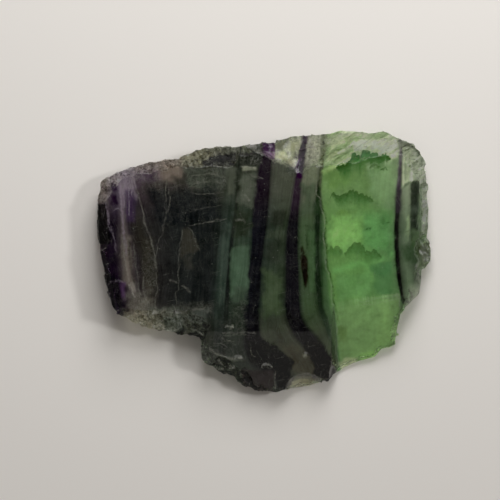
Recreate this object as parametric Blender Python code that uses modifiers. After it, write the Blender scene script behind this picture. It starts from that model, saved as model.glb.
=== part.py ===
"""A slice of banded fluorite: a slab sawn flat above and below, with a broken natural rim all round.

It is made in the order in which the stone came about. A blank is drawn to the slice's outline, taller than
the slice. Breaks take pieces off its rim, and the broken skin is roughened. The saw then takes the blank
down to its thickness, and the clean cleavage faces come last, because a cleavage is as flat as the sawn
face. Lengths are in millimetres here and become metres as the meshes are made.
"""

import math
from typing import NamedTuple

import bmesh
import bpy
from mathutils import Vector

MM = 0.001

# Driving dimensions, mm and degrees
THICKNESS = 9.0
SEAT = (0.095, 0.24)  # move that brings the middle of the slice over the origin
BLANK_SPARE = 3.0  # blank left over past each sawn face
SAW_BLOCK = (120.0, 100.0)  # length and width of the saw's block, which covers the whole slab
WIDEST_AT = 2.6  # height at which the rim reaches furthest out
FOOT_INSET = 1.1  # how far the rim draws in from there down to the sawn foot
BREAK_REACH = 24.0  # how far a break's block goes outward, past the rim
BREAK_LAP = 0.4  # how far neighbouring breaks overlap along the rim
BREAK_RISE = 1.2  # how far a broken face runs on up past the sawn face
SKIN_VOXEL = 0.9  # mesh size of the broken skin while it is roughened
LUMP_SIZE, LUMP_HEIGHT = 5.0, 1.1  # broad lumps of the broken skin
CHIP_SIZE, CHIP_HEIGHT = 1.7, 0.75  # small chips on it
SKIN_DETAIL = 0.2  # share of the skin's faces that stays

# The rim seen from above, clockwise from the left: corners and the ends of its straighter stretches
OUTLINE = [
    (-44.8, 10.9), (-44.6, 16.3), (-43.7, 21.1), (-42.7, 22.0), (-37.8, 24.3), (-33.5, 25.5), (-27.5, 26.9),
    (-23.2, 27.4), (-18.4, 29.5), (-13.5, 30.5), (-7.6, 30.6), (-3.8, 31.2), (1.9, 31.8), (3.0, 31.5),
    (3.6, 32.3), (7.8, 33.5), (10.8, 33.6), (15.7, 34.2), (17.6, 34.3), (20.5, 35.2), (24.6, 34.9),
    (28.1, 34.3), (32.4, 34.7), (35.6, 32.8), (39.6, 31.2), (41.7, 29.2), (42.8, 26.3), (43.3, 21.7),
    (43.7, 16.3), (43.8, 8.8), (43.6, 5.9), (44.7, 3.4), (44.6, 0.1), (43.2, -2.0), (42.2, -2.3),
    (41.7, -8.8), (38.2, -12.4), (36.6, -14.2), (35.6, -18.5), (35.1, -22.6), (31.3, -23.9), (29.7, -25.9),
    (25.7, -27.0), (21.9, -28.7), (17.3, -31.5), (12.3, -33.6), (7.8, -34.2), (3.5, -35.2), (-0.5, -35.0),
    (-5.7, -33.3), (-7.8, -31.3), (-12.7, -29.3), (-16.5, -26.7), (-17.0, -24.2), (-16.5, -22.7),
    (-17.6, -20.5), (-20.8, -19.6), (-22.4, -20.0), (-25.1, -19.0), (-30.2, -18.3), (-35.1, -16.2),
    (-39.4, -14.0), (-41.0, -11.9), (-42.2, -6.3), (-43.6, 0.1), (-44.5, 6.1),
]


class Break(NamedTuple):
    """A broken face. Its crest runs clockwise round the slab and it falls away outward."""

    name: str
    start: tuple[float, float]
    end: tuple[float, float]
    slope: float  # degrees below level
    crest: float = THICKNESS  # height of the crest, which a wall rises from where it is low
    flare: float = 25.0  # degrees by which the face widens outward at each end, narrows where below 0


class Scoop(NamedTuple):
    """A hollow left by a shell-shaped flake: a ball's bite out of the rim."""

    name: str
    centre: tuple[float, float]
    radius: float
    floor: float  # height of its lowest point


ROUGH_BREAKS = [
    Break("left_foot_break", (-39.6, -13.9), (-43.4, 3.9), 38, flare=50),
    Break("left_corner_break", (-42.4, 15.6), (-38.6, 21.7), 43),
    Break("violet_rim_break", (-39.2, 21.5), (-30.2, 23.9), 45),
    Break("grey_rim_break", (-30.8, 23.4), (-20.5, 25.8), 35),
    Break("upper_rim_break", (-21.1, 25.2), (-9.2, 25.2), 29),
    Break("band_head_break", (-9.7, 27.1), (-1.4, 29.8), 44),
    Break("diagonal_break", (-1.6, 29.8), (9.7, 23.9), 29),
    Break("pale_rim_break", (9.2, 23.9), (15.7, 27.9), 25),
    Break("green_rim_break", (15.1, 25.0), (36.2, 28.5), 25),
    Break("right_corner_break", (36.2, 29.8), (41.6, 20.7), 35, flare=48),
    Break("right_rim_break", (41.6, 21.5), (41.9, 5.0), 60),
    Break("nub_ledge", (42.1, 5.4), (42.1, -2.8), 14, crest=5.2),
    Break("right_low_break", (41.9, -2.6), (39.7, -6.3), 62),
    Break("right_foot_break", (39.7, -6.3), (36.4, -12.6), 60),
    Break("lobe_ridge_break", (-0.5, -29.0), (-11.3, -25.8), 25, crest=7.2),
    Break("lobe_side_break", (-11.3, -25.8), (-15.9, -20.9), 15, crest=8.8),
    Break("notch_break", (-14.8, -17.0), (-20.0, -12.8), 24, flare=5),
    Break("lower_rim_break", (-20.0, -13.1), (-28.1, -13.6), 24, flare=-8),
    Break("lower_left_break", (-28.1, -13.6), (-37.8, -12.6), 30),
]
SCOOPS = [
    Scoop("pale_lip_scoop", (10.8, -36.0), 6.2, 1.4),
    Scoop("grey_lip_scoop", (22.4, -31.4), 5.2, 1.4),
    Scoop("green_lip_scoop", (28.4, -28.0), 3.9, 1.8),
]
CLEAN_BREAKS = [
    Break("left_black_face", (-42.1, 4.2), (-42.4, 16.0), 36),
    Break("green_cleavage", (41.0, -8.8), (19.0, -11.5), 25, flare=3),
    Break("lobe_cleavage", (19.2, -19.0), (-17.3, -19.0), 15),
]


def clear_scene():
    """Take every object out of the scene."""
    for thing in list(bpy.data.objects):
        bpy.data.objects.remove(thing)


def new_collection(name):
    """A collection of its own in the scene."""
    collection = bpy.data.collections.new(name)
    bpy.context.scene.collection.children.link(collection)
    return collection


def add_object(name, mesh_edit, collection):
    """Turn an edited mesh, in millimetres, into an object in metres with its faces pointing out."""
    bmesh.ops.recalc_face_normals(mesh_edit, faces=mesh_edit.faces)
    bmesh.ops.scale(mesh_edit, vec=(MM, MM, MM), verts=mesh_edit.verts)
    mesh = bpy.data.meshes.new(name)
    mesh_edit.to_mesh(mesh)
    mesh_edit.free()
    thing = bpy.data.objects.new(name, mesh)
    thing.location = (SEAT[0] * MM, SEAT[1] * MM, 0.0)
    collection.objects.link(thing)
    return thing


def add_cutter(name, mesh_edit, collection):
    """An object that only cuts: it is drawn as wire and never rendered."""
    cutter = add_object(name, mesh_edit, collection)
    cutter.hide_render = True
    cutter.display_type = "WIRE"
    return cutter


def fluorite_material():
    """Dark glassy green, the slice's colour taken as a whole."""
    material = bpy.data.materials.new("fluorite")
    material.use_nodes = True
    shader = material.node_tree.nodes["Principled BSDF"]
    shader.inputs["Base Color"].default_value = (0.052, 0.088, 0.058, 1.0)
    shader.inputs["Roughness"].default_value = 0.12
    shader.inputs["Metallic"].default_value = 0.0
    shader.inputs["IOR"].default_value = 1.434
    return material


def inset_outline(inset):
    """The outline drawn in by a distance, each corner moving along the mean of its two sides' normals."""
    drawn_in = []
    count = len(OUTLINE)
    for index, corner in enumerate(OUTLINE):
        before = Vector(OUTLINE[index - 1])
        after = Vector(OUTLINE[(index + 1) % count])
        along = (after - before).normalized()
        drawn_in.append((corner[0] + along.y * inset, corner[1] - along.x * inset))
    return drawn_in


def blank_mesh():
    """A loft up through three rings of the outline: drawn in at the foot, widest low down."""
    levels = [
        (-BLANK_SPARE, FOOT_INSET * (WIDEST_AT + BLANK_SPARE) / WIDEST_AT),
        (WIDEST_AT, 0.0),
        (THICKNESS + BLANK_SPARE, 0.0),
    ]
    blank = bmesh.new()
    rings = [[blank.verts.new((x, y, z)) for x, y in inset_outline(inset)] for z, inset in levels]
    for lower, upper in zip(rings, rings[1:]):
        for index in range(len(lower)):
            blank.faces.new((lower[index - 1], lower[index], upper[index], upper[index - 1]))
    blank.faces.new(rings[0])
    blank.faces.new(reversed(rings[-1]))
    return blank


def break_mesh(broken):
    """A block whose underside is the broken face: its side view, drawn out along the crest."""
    start, end = Vector(broken.start), Vector(broken.end)
    along = (end - start).normalized()
    outward = Vector((-along.y, along.x))
    top = THICKNESS + 2 * BLANK_SPARE
    rise = BREAK_RISE if broken.crest == THICKNESS else 0.0
    incline = math.tan(math.radians(broken.slope))
    back, fall = rise / incline, BREAK_REACH * incline
    inner = [(-back, top), (-back, broken.crest + rise)]
    outer = [(BREAK_REACH, broken.crest - fall), (BREAK_REACH, top)]
    side_view = inner + outer
    block = bmesh.new()
    ends = []
    for foot, way in ((start, -along), (end, along)):
        corners = []
        for out, z in side_view:
            past = BREAK_LAP + out * math.tan(math.radians(broken.flare))
            corners.append(block.verts.new((*(foot + outward * out + way * past), z)))
        ends.append(corners)
    for index in range(len(side_view)):
        block.faces.new((ends[0][index - 1], ends[0][index], ends[1][index], ends[1][index - 1]))
    block.faces.new(ends[0])
    block.faces.new(reversed(ends[1]))
    return block


def scoop_mesh(scoop):
    """A ball over the rim."""
    ball = bmesh.new()
    bmesh.ops.create_icosphere(ball, subdivisions=3, radius=scoop.radius)
    bmesh.ops.translate(ball, vec=(*scoop.centre, scoop.floor + scoop.radius), verts=ball.verts)
    return ball


def saw_mesh(bottom, top):
    """A block over the whole slab between two heights."""
    block = bmesh.new()
    bmesh.ops.create_cube(block, size=1.0)
    bmesh.ops.scale(block, vec=(*SAW_BLOCK, top - bottom), verts=block.verts)
    bmesh.ops.translate(block, vec=(0.0, 0.0, (bottom + top) / 2), verts=block.verts)
    return block


def cut(stone, cutter):
    """Take the cutter's shape off the stone."""
    boolean = stone.modifiers.new(cutter.name, "BOOLEAN")
    boolean.operation = "DIFFERENCE"
    boolean.solver = "EXACT"
    boolean.object = cutter


def push_skin(stone, name, size, height, direction):
    """Push the skin to and fro in one level direction by clouds, which leaves level faces level."""
    clouds = bpy.data.textures.new(name, "CLOUDS")
    clouds.noise_scale = size * MM
    clouds.noise_depth = 1
    push = stone.modifiers.new(name, "DISPLACE")
    push.texture = clouds
    push.texture_coords = "LOCAL"
    push.direction = direction
    push.mid_level = 0.5
    push.strength = height * MM


def roughen_skin(stone):
    """Give the broken skin an even mesh, push it about, and keep only the faces that its lumps need."""
    remesh = stone.modifiers.new("skin", "REMESH")
    remesh.mode = "VOXEL"
    remesh.voxel_size = SKIN_VOXEL * MM
    for direction in "XY":
        push_skin(stone, f"lumps_{direction}", LUMP_SIZE, LUMP_HEIGHT, direction)
        push_skin(stone, f"chips_{direction}", CHIP_SIZE, CHIP_HEIGHT, direction)
    thin = stone.modifiers.new("thin", "DECIMATE")
    thin.ratio = SKIN_DETAIL
    stone.modifiers.new("flat_faces", "TRIANGULATE")


def build():
    """Make the slice and the blocks that cut it."""
    clear_scene()
    stones = new_collection("fluorite slice")
    cutters = new_collection("cutters")
    stone = add_object("fluorite_slice", blank_mesh(), stones)
    stone.data.materials.append(fluorite_material())
    for broken in ROUGH_BREAKS:
        cut(stone, add_cutter(broken.name, break_mesh(broken), cutters))
    for scoop in SCOOPS:
        cut(stone, add_cutter(scoop.name, scoop_mesh(scoop), cutters))
    roughen_skin(stone)
    past = 2 * BLANK_SPARE
    cut(stone, add_cutter("top_saw", saw_mesh(THICKNESS, THICKNESS + past), cutters))
    cut(stone, add_cutter("foot_saw", saw_mesh(-past, 0.0), cutters))
    for broken in CLEAN_BREAKS:
        cut(stone, add_cutter(broken.name, break_mesh(broken), cutters))


build()
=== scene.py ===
"""Dresses a slice of banded fluorite: its polished face, broken rim, growth bands, frost and flaws.

Lengths are in millimetres in every class here and become metres as a mesh, a lamp or a camera is made.
X runs across the growth bands, Y along them, and Z up out of the polished face.
"""

import logging
import math
from dataclasses import dataclass
from enum import Enum
from typing import Any

import bpy
import numpy as np
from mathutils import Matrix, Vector

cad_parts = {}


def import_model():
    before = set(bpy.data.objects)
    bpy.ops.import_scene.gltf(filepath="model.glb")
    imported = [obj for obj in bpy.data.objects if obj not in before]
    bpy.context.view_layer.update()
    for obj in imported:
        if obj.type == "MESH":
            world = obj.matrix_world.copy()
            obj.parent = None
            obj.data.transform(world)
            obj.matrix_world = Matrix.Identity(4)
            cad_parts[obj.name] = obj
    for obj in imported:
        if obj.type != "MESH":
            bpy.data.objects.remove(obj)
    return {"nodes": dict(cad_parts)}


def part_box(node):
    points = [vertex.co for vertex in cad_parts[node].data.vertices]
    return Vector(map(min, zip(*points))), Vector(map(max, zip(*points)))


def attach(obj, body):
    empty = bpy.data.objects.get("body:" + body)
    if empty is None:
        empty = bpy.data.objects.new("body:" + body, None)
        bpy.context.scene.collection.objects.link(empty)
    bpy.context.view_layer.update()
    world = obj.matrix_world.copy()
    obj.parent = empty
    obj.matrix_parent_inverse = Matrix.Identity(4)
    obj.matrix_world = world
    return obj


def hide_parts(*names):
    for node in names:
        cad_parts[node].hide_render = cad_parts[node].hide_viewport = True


MM = 0.001
NODE = "fluorite_slice"
LEDGE_LEAN = 31  # degrees by which the cleavage ledges above the green field climb to the right
PLAIN_VEINS = 0.04  # how thickly pale veins run where no patch says otherwise

Array = np.ndarray
Point = tuple[float, float]
Tree = bpy.types.NodeTree
Socket = bpy.types.NodeSocket
Links = dict[str | int, Any] | tuple[Any, ...]
log = logging.getLogger("fluorite")


# ---------------------------------------------------------------------------------------------- numbers


def smooth_step(low: float, high: float, value: Array) -> Array:
    """Ease from 0 at low to 1 at high, level at both ends: 3t^2 - 2t^3.

    Args:
        low: value that gives 0.
        high: value that gives 1.
        value: numbers to ease.

    Returns:
        The eased numbers.
    """
    t = np.clip((value - low) / (high - low), 0.0, 1.0)
    return t * t * (3.0 - 2.0 * t)


def cloud(x: Array, y: Array, size: float, seed: int) -> Array:
    """Smooth random waves from -1 to 1: random heights on a square lattice, eased between its corners.

    Args:
        x: places across.
        y: places along.
        size: lattice step.
        seed: which random lattice.

    Returns:
        The height at each place.
    """
    count = 64
    table = np.random.default_rng(seed).uniform(-1.0, 1.0, (count, count))
    column, row = np.floor(x / size).astype(int), np.floor(y / size).astype(int)
    right = smooth_step(0.0, 1.0, x / size - column)
    up = smooth_step(0.0, 1.0, y / size - row)
    left, low = column % count, row % count
    after, above = (column + 1) % count, (row + 1) % count
    bottom = table[left, low] * (1.0 - right) + table[after, low] * right
    top = table[left, above] * (1.0 - right) + table[after, above] * right
    return bottom * (1.0 - up) + top * up


def chips(x: Array, y: Array, size: float, tilt: float, seed: int) -> Array:
    """Flat cleavage chips: each place lies on the tilted plane of the nearest of a jittered lattice's seeds.

    Args:
        x: places across.
        y: places along.
        size: mean width of a chip.
        tilt: steepest rise of a chip's plane, as a slope.
        seed: which random chips.

    Returns:
        The height at each place.
    """
    count = 64
    draws = np.random.default_rng(seed).uniform(0.0, 1.0, (count, count, 5))
    column, row = np.floor(x / size).astype(int), np.floor(y / size).astype(int)
    nearest = np.full(x.shape, np.inf)
    height = np.zeros(x.shape)
    for step in np.ndindex(3, 3):
        seed_column, seed_row = column + step[0] - 1, row + step[1] - 1
        draw = draws[seed_column % count, seed_row % count]
        over = x - (seed_column + draw[..., 0]) * size
        along = y - (seed_row + draw[..., 1]) * size
        gap = np.hypot(over, along)
        closer = gap < nearest
        rise = (draw[..., 2] - 0.5) * over + (draw[..., 3] - 0.5) * along + (draw[..., 4] - 0.5) * size * 0.5
        nearest = np.where(closer, gap, nearest)
        height = np.where(closer, 2.0 * tilt * rise, height)
    return height


def depth_inside(x: Array, y: Array, corners: list[Point]) -> Array:
    """Distance to a polygon's nearest edge, above 0 inside it (an odd count of crossings) and below outside.

    Args:
        x: places across.
        y: places along.
        corners: the polygon's corners in turn.

    Returns:
        The signed distance at each place.
    """
    square = np.full(x.shape, np.inf)
    inside = np.zeros(x.shape, bool)
    for (start_x, start_y), (end_x, end_y) in zip(corners, corners[1:] + corners[:1]):
        over, along = end_x - start_x, end_y - start_y
        share = ((x - start_x) * over + (y - start_y) * along) / (over**2 + along**2)
        share = np.clip(share, 0.0, 1.0)
        square = np.minimum(square, (x - start_x - share * over) ** 2 + (y - start_y - share * along) ** 2)
        if along:
            crossing = start_x + (y - start_y) * over / along
            inside ^= ((start_y > y) != (end_y > y)) & (x < crossing)
    return np.where(inside, 1.0, -1.0) * np.sqrt(square)


# ---------------------------------------------------------------------------------------------- shapes


class Grain(Enum):
    """How a face of the stone is finished, as its share of roughness."""

    CLEAVED = 0.06
    SHELLY = 0.25
    STEPPED = 0.75
    HACKLY = 1.0


@dataclass(frozen=True)
class Break:
    """A broken face. Its crest runs clockwise round the slab, and it falls away outward.

    Attributes:
        start: where the crest starts.
        end: where it ends.
        slope: degrees below level.
        grain: its finish.
        crest: height of the crest, or 0 for the polished face's own height.
        flare: degrees by which the face widens outward at each end.
    """

    start: Point
    end: Point
    slope: float
    grain: Grain = Grain.HACKLY
    crest: float = 0.0
    flare: float = 25.0

    def height(self, x: Array, y: Array, top: float) -> Array:
        """Height of the face's plane: crest less the distance outward times the slope.

        It climbs as a wall past its ends, once past a short lap and the flare, and inward of a lowered crest.

        Args:
            x: places across.
            y: places along.
            top: height of the polished face.

        Returns:
            The plane's height at each place.
        """
        wall = 2.7
        lap = 0.4
        length = math.dist(self.start, self.end)
        over, along = (self.end[0] - self.start[0]) / length, (self.end[1] - self.start[1]) / length
        run = (x - self.start[0]) * over + (y - self.start[1]) * along
        out = (y - self.start[1]) * over - (x - self.start[0]) * along
        incline = math.tan(math.radians(self.slope))
        inner = wall if self.crest else incline
        spread = lap + out * math.tan(math.radians(self.flare))
        past = np.maximum(np.maximum(-spread - run, run - length - spread), 0.0)
        fall = np.where(out > 0.0, out * incline, out * inner)
        return (self.crest or top) - fall + wall * past


@dataclass(frozen=True)
class Scoop:
    """A hollow left by a shell-shaped flake: a ball's bite.

    Attributes:
        centre: its middle.
        radius: the ball's radius.
        floor: height of its lowest point.
    """

    centre: Point
    radius: float
    floor: float

    def height(self, x: Array, y: Array) -> Array:
        """Height of the ball's underside, r - sqrt(r^2 - d^2) above its floor, and far up past its edge.

        Args:
            x: places across.
            y: places along.

        Returns:
            The height at each place.
        """
        square = self.radius**2 - (x - self.centre[0]) ** 2 - (y - self.centre[1]) ** 2
        inside = self.floor + self.radius - np.sqrt(np.maximum(square, 0.0))
        return np.where(square > 0.0, inside, np.inf)


BREAKS = {
    "left foot": Break((-39.6, -13.9), (-43.4, 3.9), 38, Grain.CLEAVED, flare=50),
    "left corner": Break((-42.4, 15.6), (-38.6, 21.7), 43),
    "violet rim": Break((-39.2, 21.5), (-30.2, 23.9), 45),
    "grey rim": Break((-30.8, 23.4), (-20.5, 25.8), 35),
    "upper rim": Break((-21.1, 25.2), (-9.2, 25.2), 29),
    "band head": Break((-9.7, 27.1), (-1.4, 29.8), 44),
    "diagonal": Break((-1.6, 29.8), (9.7, 23.9), 29, Grain.STEPPED),
    "pale rim": Break((9.2, 23.9), (15.7, 27.9), 25, Grain.SHELLY),
    "green rim": Break((15.1, 25.0), (36.2, 28.5), 25, Grain.STEPPED),
    "right corner": Break((36.2, 29.8), (41.6, 20.7), 35, flare=48),
    "right rim": Break((41.6, 21.5), (41.9, 5.0), 60),
    "nub ledge": Break((42.1, 5.4), (42.1, -2.8), 14, Grain.SHELLY, crest=5.2),
    "right low": Break((41.9, -2.6), (39.7, -6.3), 62, Grain.SHELLY),
    "right foot": Break((39.7, -6.3), (36.4, -12.6), 60, Grain.SHELLY),
    "lobe ridge": Break((-0.5, -29.0), (-11.3, -25.8), 25, crest=7.2),
    "lobe side": Break((-11.3, -25.8), (-15.9, -20.9), 15, crest=8.8),
    "notch": Break((-14.8, -17.0), (-20.0, -12.8), 24, flare=5),
    "lower rim": Break((-20.0, -13.1), (-28.1, -13.6), 24, flare=-10),
    "lower left": Break((-28.1, -13.6), (-37.8, -12.6), 30),
    "left black": Break((-42.1, 4.2), (-42.4, 16.0), 36, Grain.CLEAVED),
    "green cleavage": Break((41.0, -8.8), (19.0, -11.5), 25, Grain.CLEAVED, flare=3),
    "lobe cleavage": Break((19.2, -19.0), (-17.3, -19.0), 15, Grain.CLEAVED),
}
SCOOPS = {
    "pale lip": Scoop((10.8, -36.0), 6.2, 1.4),
    "grey lip": Scoop((22.4, -31.4), 5.2, 1.4),
    "green lip": Scoop((28.4, -28.0), 3.9, 1.8),
}

# The rim seen from above, clockwise from the left: corners and the ends of its straighter stretches
OUTLINE = [
    (-44.8, 10.9), (-44.6, 16.3), (-43.7, 21.1), (-42.7, 22.0), (-37.8, 24.3), (-33.5, 25.5), (-27.5, 26.9),
    (-23.2, 27.4), (-18.4, 29.5), (-13.5, 30.5), (-7.6, 30.6), (-3.8, 31.2), (1.9, 31.8), (3.0, 31.5),
    (3.6, 32.3), (7.8, 33.5), (10.8, 33.6), (15.7, 34.2), (17.6, 34.3), (20.5, 35.2), (24.6, 34.9),
    (28.1, 34.3), (32.4, 34.7), (35.6, 32.8), (39.6, 31.2), (41.7, 29.2), (42.8, 26.3), (43.3, 21.7),
    (43.7, 16.3), (43.8, 8.8), (43.6, 5.9), (44.7, 3.4), (44.6, 0.1), (43.2, -2.0), (42.2, -2.3),
    (41.7, -8.8), (38.2, -12.4), (36.6, -14.2), (35.6, -18.5), (35.1, -22.6), (31.3, -23.9), (29.7, -25.9),
    (25.7, -27.0), (21.9, -28.7), (17.3, -31.5), (12.3, -33.6), (7.8, -34.2), (3.5, -35.2), (-0.5, -35.0),
    (-5.7, -33.3), (-7.8, -31.3), (-12.7, -29.3), (-16.5, -26.7), (-17.0, -24.2), (-16.5, -22.7),
    (-17.6, -20.5), (-20.8, -19.6), (-22.4, -20.0), (-25.1, -19.0), (-30.2, -18.3), (-35.1, -16.2),
    (-39.4, -14.0), (-41.0, -11.9), (-42.2, -6.3), (-43.6, 0.1), (-44.5, 6.1)
]

# Where each growth zone starts, as (y, x) from the lower rim to the upper one, the dark end's zones first
GROWTH_EDGES = {
    "outer end": [(0.0, -47.0)],
    "pale column": [
        (-13.6, -35.9), (-8.5, -36.2), (-3.9, -38.1), (1.5, -38.8), (6.3, -38.8), (11.5, -38.6),
        (16.3, -39.0), (25.8, -39.7)
    ],
    "violet column": [
        (-13.6, -34.0), (-8.5, -34.3), (-3.9, -35.6), (1.5, -36.2), (6.3, -36.8), (11.5, -37.7),
        (16.3, -37.8), (25.8, -37.0)
    ],
    "olive column": [(-13.6, -33.2), (-7.4, -33.1), (0.1, -33.2), (6.3, -35.8), (16.3, -35.9), (25.8, -36.6)],
    "dark body": [
        (-13.6, -29.7), (-8.0, -28.9), (-4.2, -28.6), (-1.2, -29.2), (2.3, -29.6), (6.3, -30.6),
        (11.3, -32.1), (16.3, -33.6), (21.7, -35.4), (25.8, -35.9)
    ],
    "thread": [
        (-32.3, -11.6), (-18.8, -11.2), (-12.7, -10.9), (-7.5, -10.6), (0.2, -9.9), (4.2, -9.5), (14.6, -8.0),
        (22.8, -7.4), (30.5, -6.8)
    ],
    "first window": [
        (-32.3, -10.8), (-18.8, -10.1), (-12.7, -9.5), (-7.5, -9.2), (0.2, -8.6), (4.2, -8.5), (14.6, -7.2),
        (22.8, -6.6), (30.5, -6.0)
    ],
    "wide band": [
        (-35.5, 4.3), (-33.3, 3.5), (-30.8, 2.2), (-28.2, -3.0), (-25.5, -4.5), (-23.0, -5.7), (-17.8, -5.4),
        (-12.6, -6.2), (-7.4, -5.4), (-2.3, -4.3), (4.2, -3.6), (10.4, -3.6), (16.6, -3.1), (22.4, -2.1),
        (27.0, -1.1), (31.2, -0.8)
    ],
    "second window": [
        (-35.5, 5.9), (-33.3, 6.4), (-30.8, 7.4), (-28.2, 6.9), (-25.5, 5.4), (-23.0, 2.8), (-20.4, -0.8),
        (-17.8, -1.2), (-12.6, -1.2), (-7.4, -0.8), (-2.3, -0.7), (4.2, 0.1), (10.4, 1.0), (16.6, 1.5),
        (22.4, 1.8), (27.0, 2.1), (31.2, 2.9)
    ],
    "violet band": [
        (-33.6, 16.7), (-30.8, 15.4), (-28.2, 14.1), (-25.5, 12.4), (-23.0, 10.3), (-20.4, 7.9), (-17.8, 6.4),
        (-15.3, 5.5), (-12.6, 5.1), (-7.4, 5.4), (2.8, 5.4), (8.4, 5.8), (14.6, 7.0), (20.8, 8.0),
        (24.9, 8.7), (29.0, 9.5), (33.4, 9.9)
    ],
    "third window": [
        (-33.6, 18.9), (-28.2, 18.6), (-25.5, 17.3), (-23.0, 16.4), (-20.4, 14.4), (-17.8, 11.7),
        (-15.3, 10.4), (-12.6, 10.0), (-7.4, 9.7), (-2.3, 9.6), (2.8, 9.3), (8.4, 9.3), (14.6, 9.5),
        (20.8, 10.1), (24.9, 10.5), (29.0, 11.3), (33.4, 11.8)
    ],
    "fine band": [
        (-33.6, 19.4), (-28.2, 19.2), (-22.8, 18.1), (-18.8, 16.6), (-15.3, 15.1), (-12.6, 14.3),
        (-7.4, 13.7), (-2.3, 13.0), (4.2, 12.9), (10.4, 13.5), (16.6, 13.8), (20.8, 14.4), (25.0, 14.9),
        (29.0, 15.3), (33.9, 15.1)
    ],
    "fourth window": [
        (-33.6, 19.7), (-28.2, 19.4), (-22.8, 18.6), (-18.8, 17.8), (-15.3, 17.0), (-12.6, 15.7),
        (-7.4, 15.4), (-2.3, 15.2), (4.2, 14.9), (10.4, 15.1), (16.6, 14.9), (20.8, 15.2), (25.0, 15.7),
        (29.0, 16.3), (33.9, 16.5)
    ],
    "green field": [
        (-33.6, 20.0), (-28.2, 19.7), (-23.0, 19.6), (-17.8, 19.3), (-12.6, 19.1), (-7.4, 18.2), (-2.3, 17.6),
        (2.8, 17.0), (6.9, 16.9), (10.9, 16.3), (16.3, 15.5), (20.9, 15.4), (25.8, 15.9), (33.9, 16.9)
    ],
    "rim band": [
        (-16.1, 37.8), (-11.2, 37.3), (-9.3, 36.5), (-5.3, 35.6), (-1.2, 35.1), (4.2, 34.7), (9.6, 34.7),
        (15.0, 35.2), (20.4, 35.6), (25.8, 36.2), (30.6, 36.2)
    ],
    "fifth window": [
        (-16.1, 38.3), (-11.2, 38.1), (-9.3, 37.3), (-5.3, 36.9), (-1.2, 36.5), (4.2, 36.2), (9.6, 36.2),
        (15.0, 36.5), (20.4, 36.6), (25.8, 36.8), (30.6, 37.0)
    ],
    "shade band": [(-10.7, 40.5), (0.1, 40.0), (4.2, 39.8), (21.5, 39.7), (29.8, 39.7)],
    "right skin": [(-10.7, 42.1), (4.2, 41.7), (29.8, 41.6)],
    "far end": [(0.0, 47.0)],
}
ZONES = len(GROWTH_EDGES) - 1


def growth(x: Array, y: Array) -> tuple[Array, Array]:
    """Growth coordinate: 0 at the outer end, one more at each zone's start, straight in x between two starts.

    Args:
        x: places across.
        y: places along.

    Returns:
        The coordinate at each place as a share of the number of zones, and the same walk across the zones
        in millimetres, each zone as wide as it is at mid height.
    """
    lines = [np.array(edge) for edge in GROWTH_EDGES.values()]
    starts = [np.interp(y, line[:, 0], line[:, 1]) for line in lines]
    middle = [float(np.interp(4.0, line[:, 0], line[:, 1])) for line in lines]
    zone, across = np.zeros(x.shape), np.zeros(x.shape)
    for start, end, width in zip(starts, starts[1:], np.diff(middle)):
        share = np.clip((x - start) / np.maximum(end - start, 0.05), 0.0, 1.0)
        zone += share
        across += share * width
    return zone / ZONES, across


@dataclass(frozen=True)
class Patch:
    """A stretch of the stone that shows another colour than its growth zone: its own, or painted shade or
    glints.

    Attributes:
        colour: what it shows over white.
        corners: its outline.
        soft: half width of its edge.
        strength: how far it covers the zone's colour.
        veins: how thickly pale veins run through it, from 0 to 1.
    """

    colour: str
    corners: list[Point]
    soft: float = 0.7
    strength: float = 1.0
    veins: float = 0.05

    def cover(self, x: Array, y: Array) -> Array:
        """How far the patch covers each place: its depth inside a wavering edge, eased over the soft part."""
        stray = (0.04 + 0.7 * self.soft) * (cloud(x, y, 1.9, 61) + 0.8 * cloud(x, y, 0.8, 62))
        return self.strength * smooth_step(-self.soft, self.soft, depth_inside(x, y, self.corners) + stray)


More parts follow.
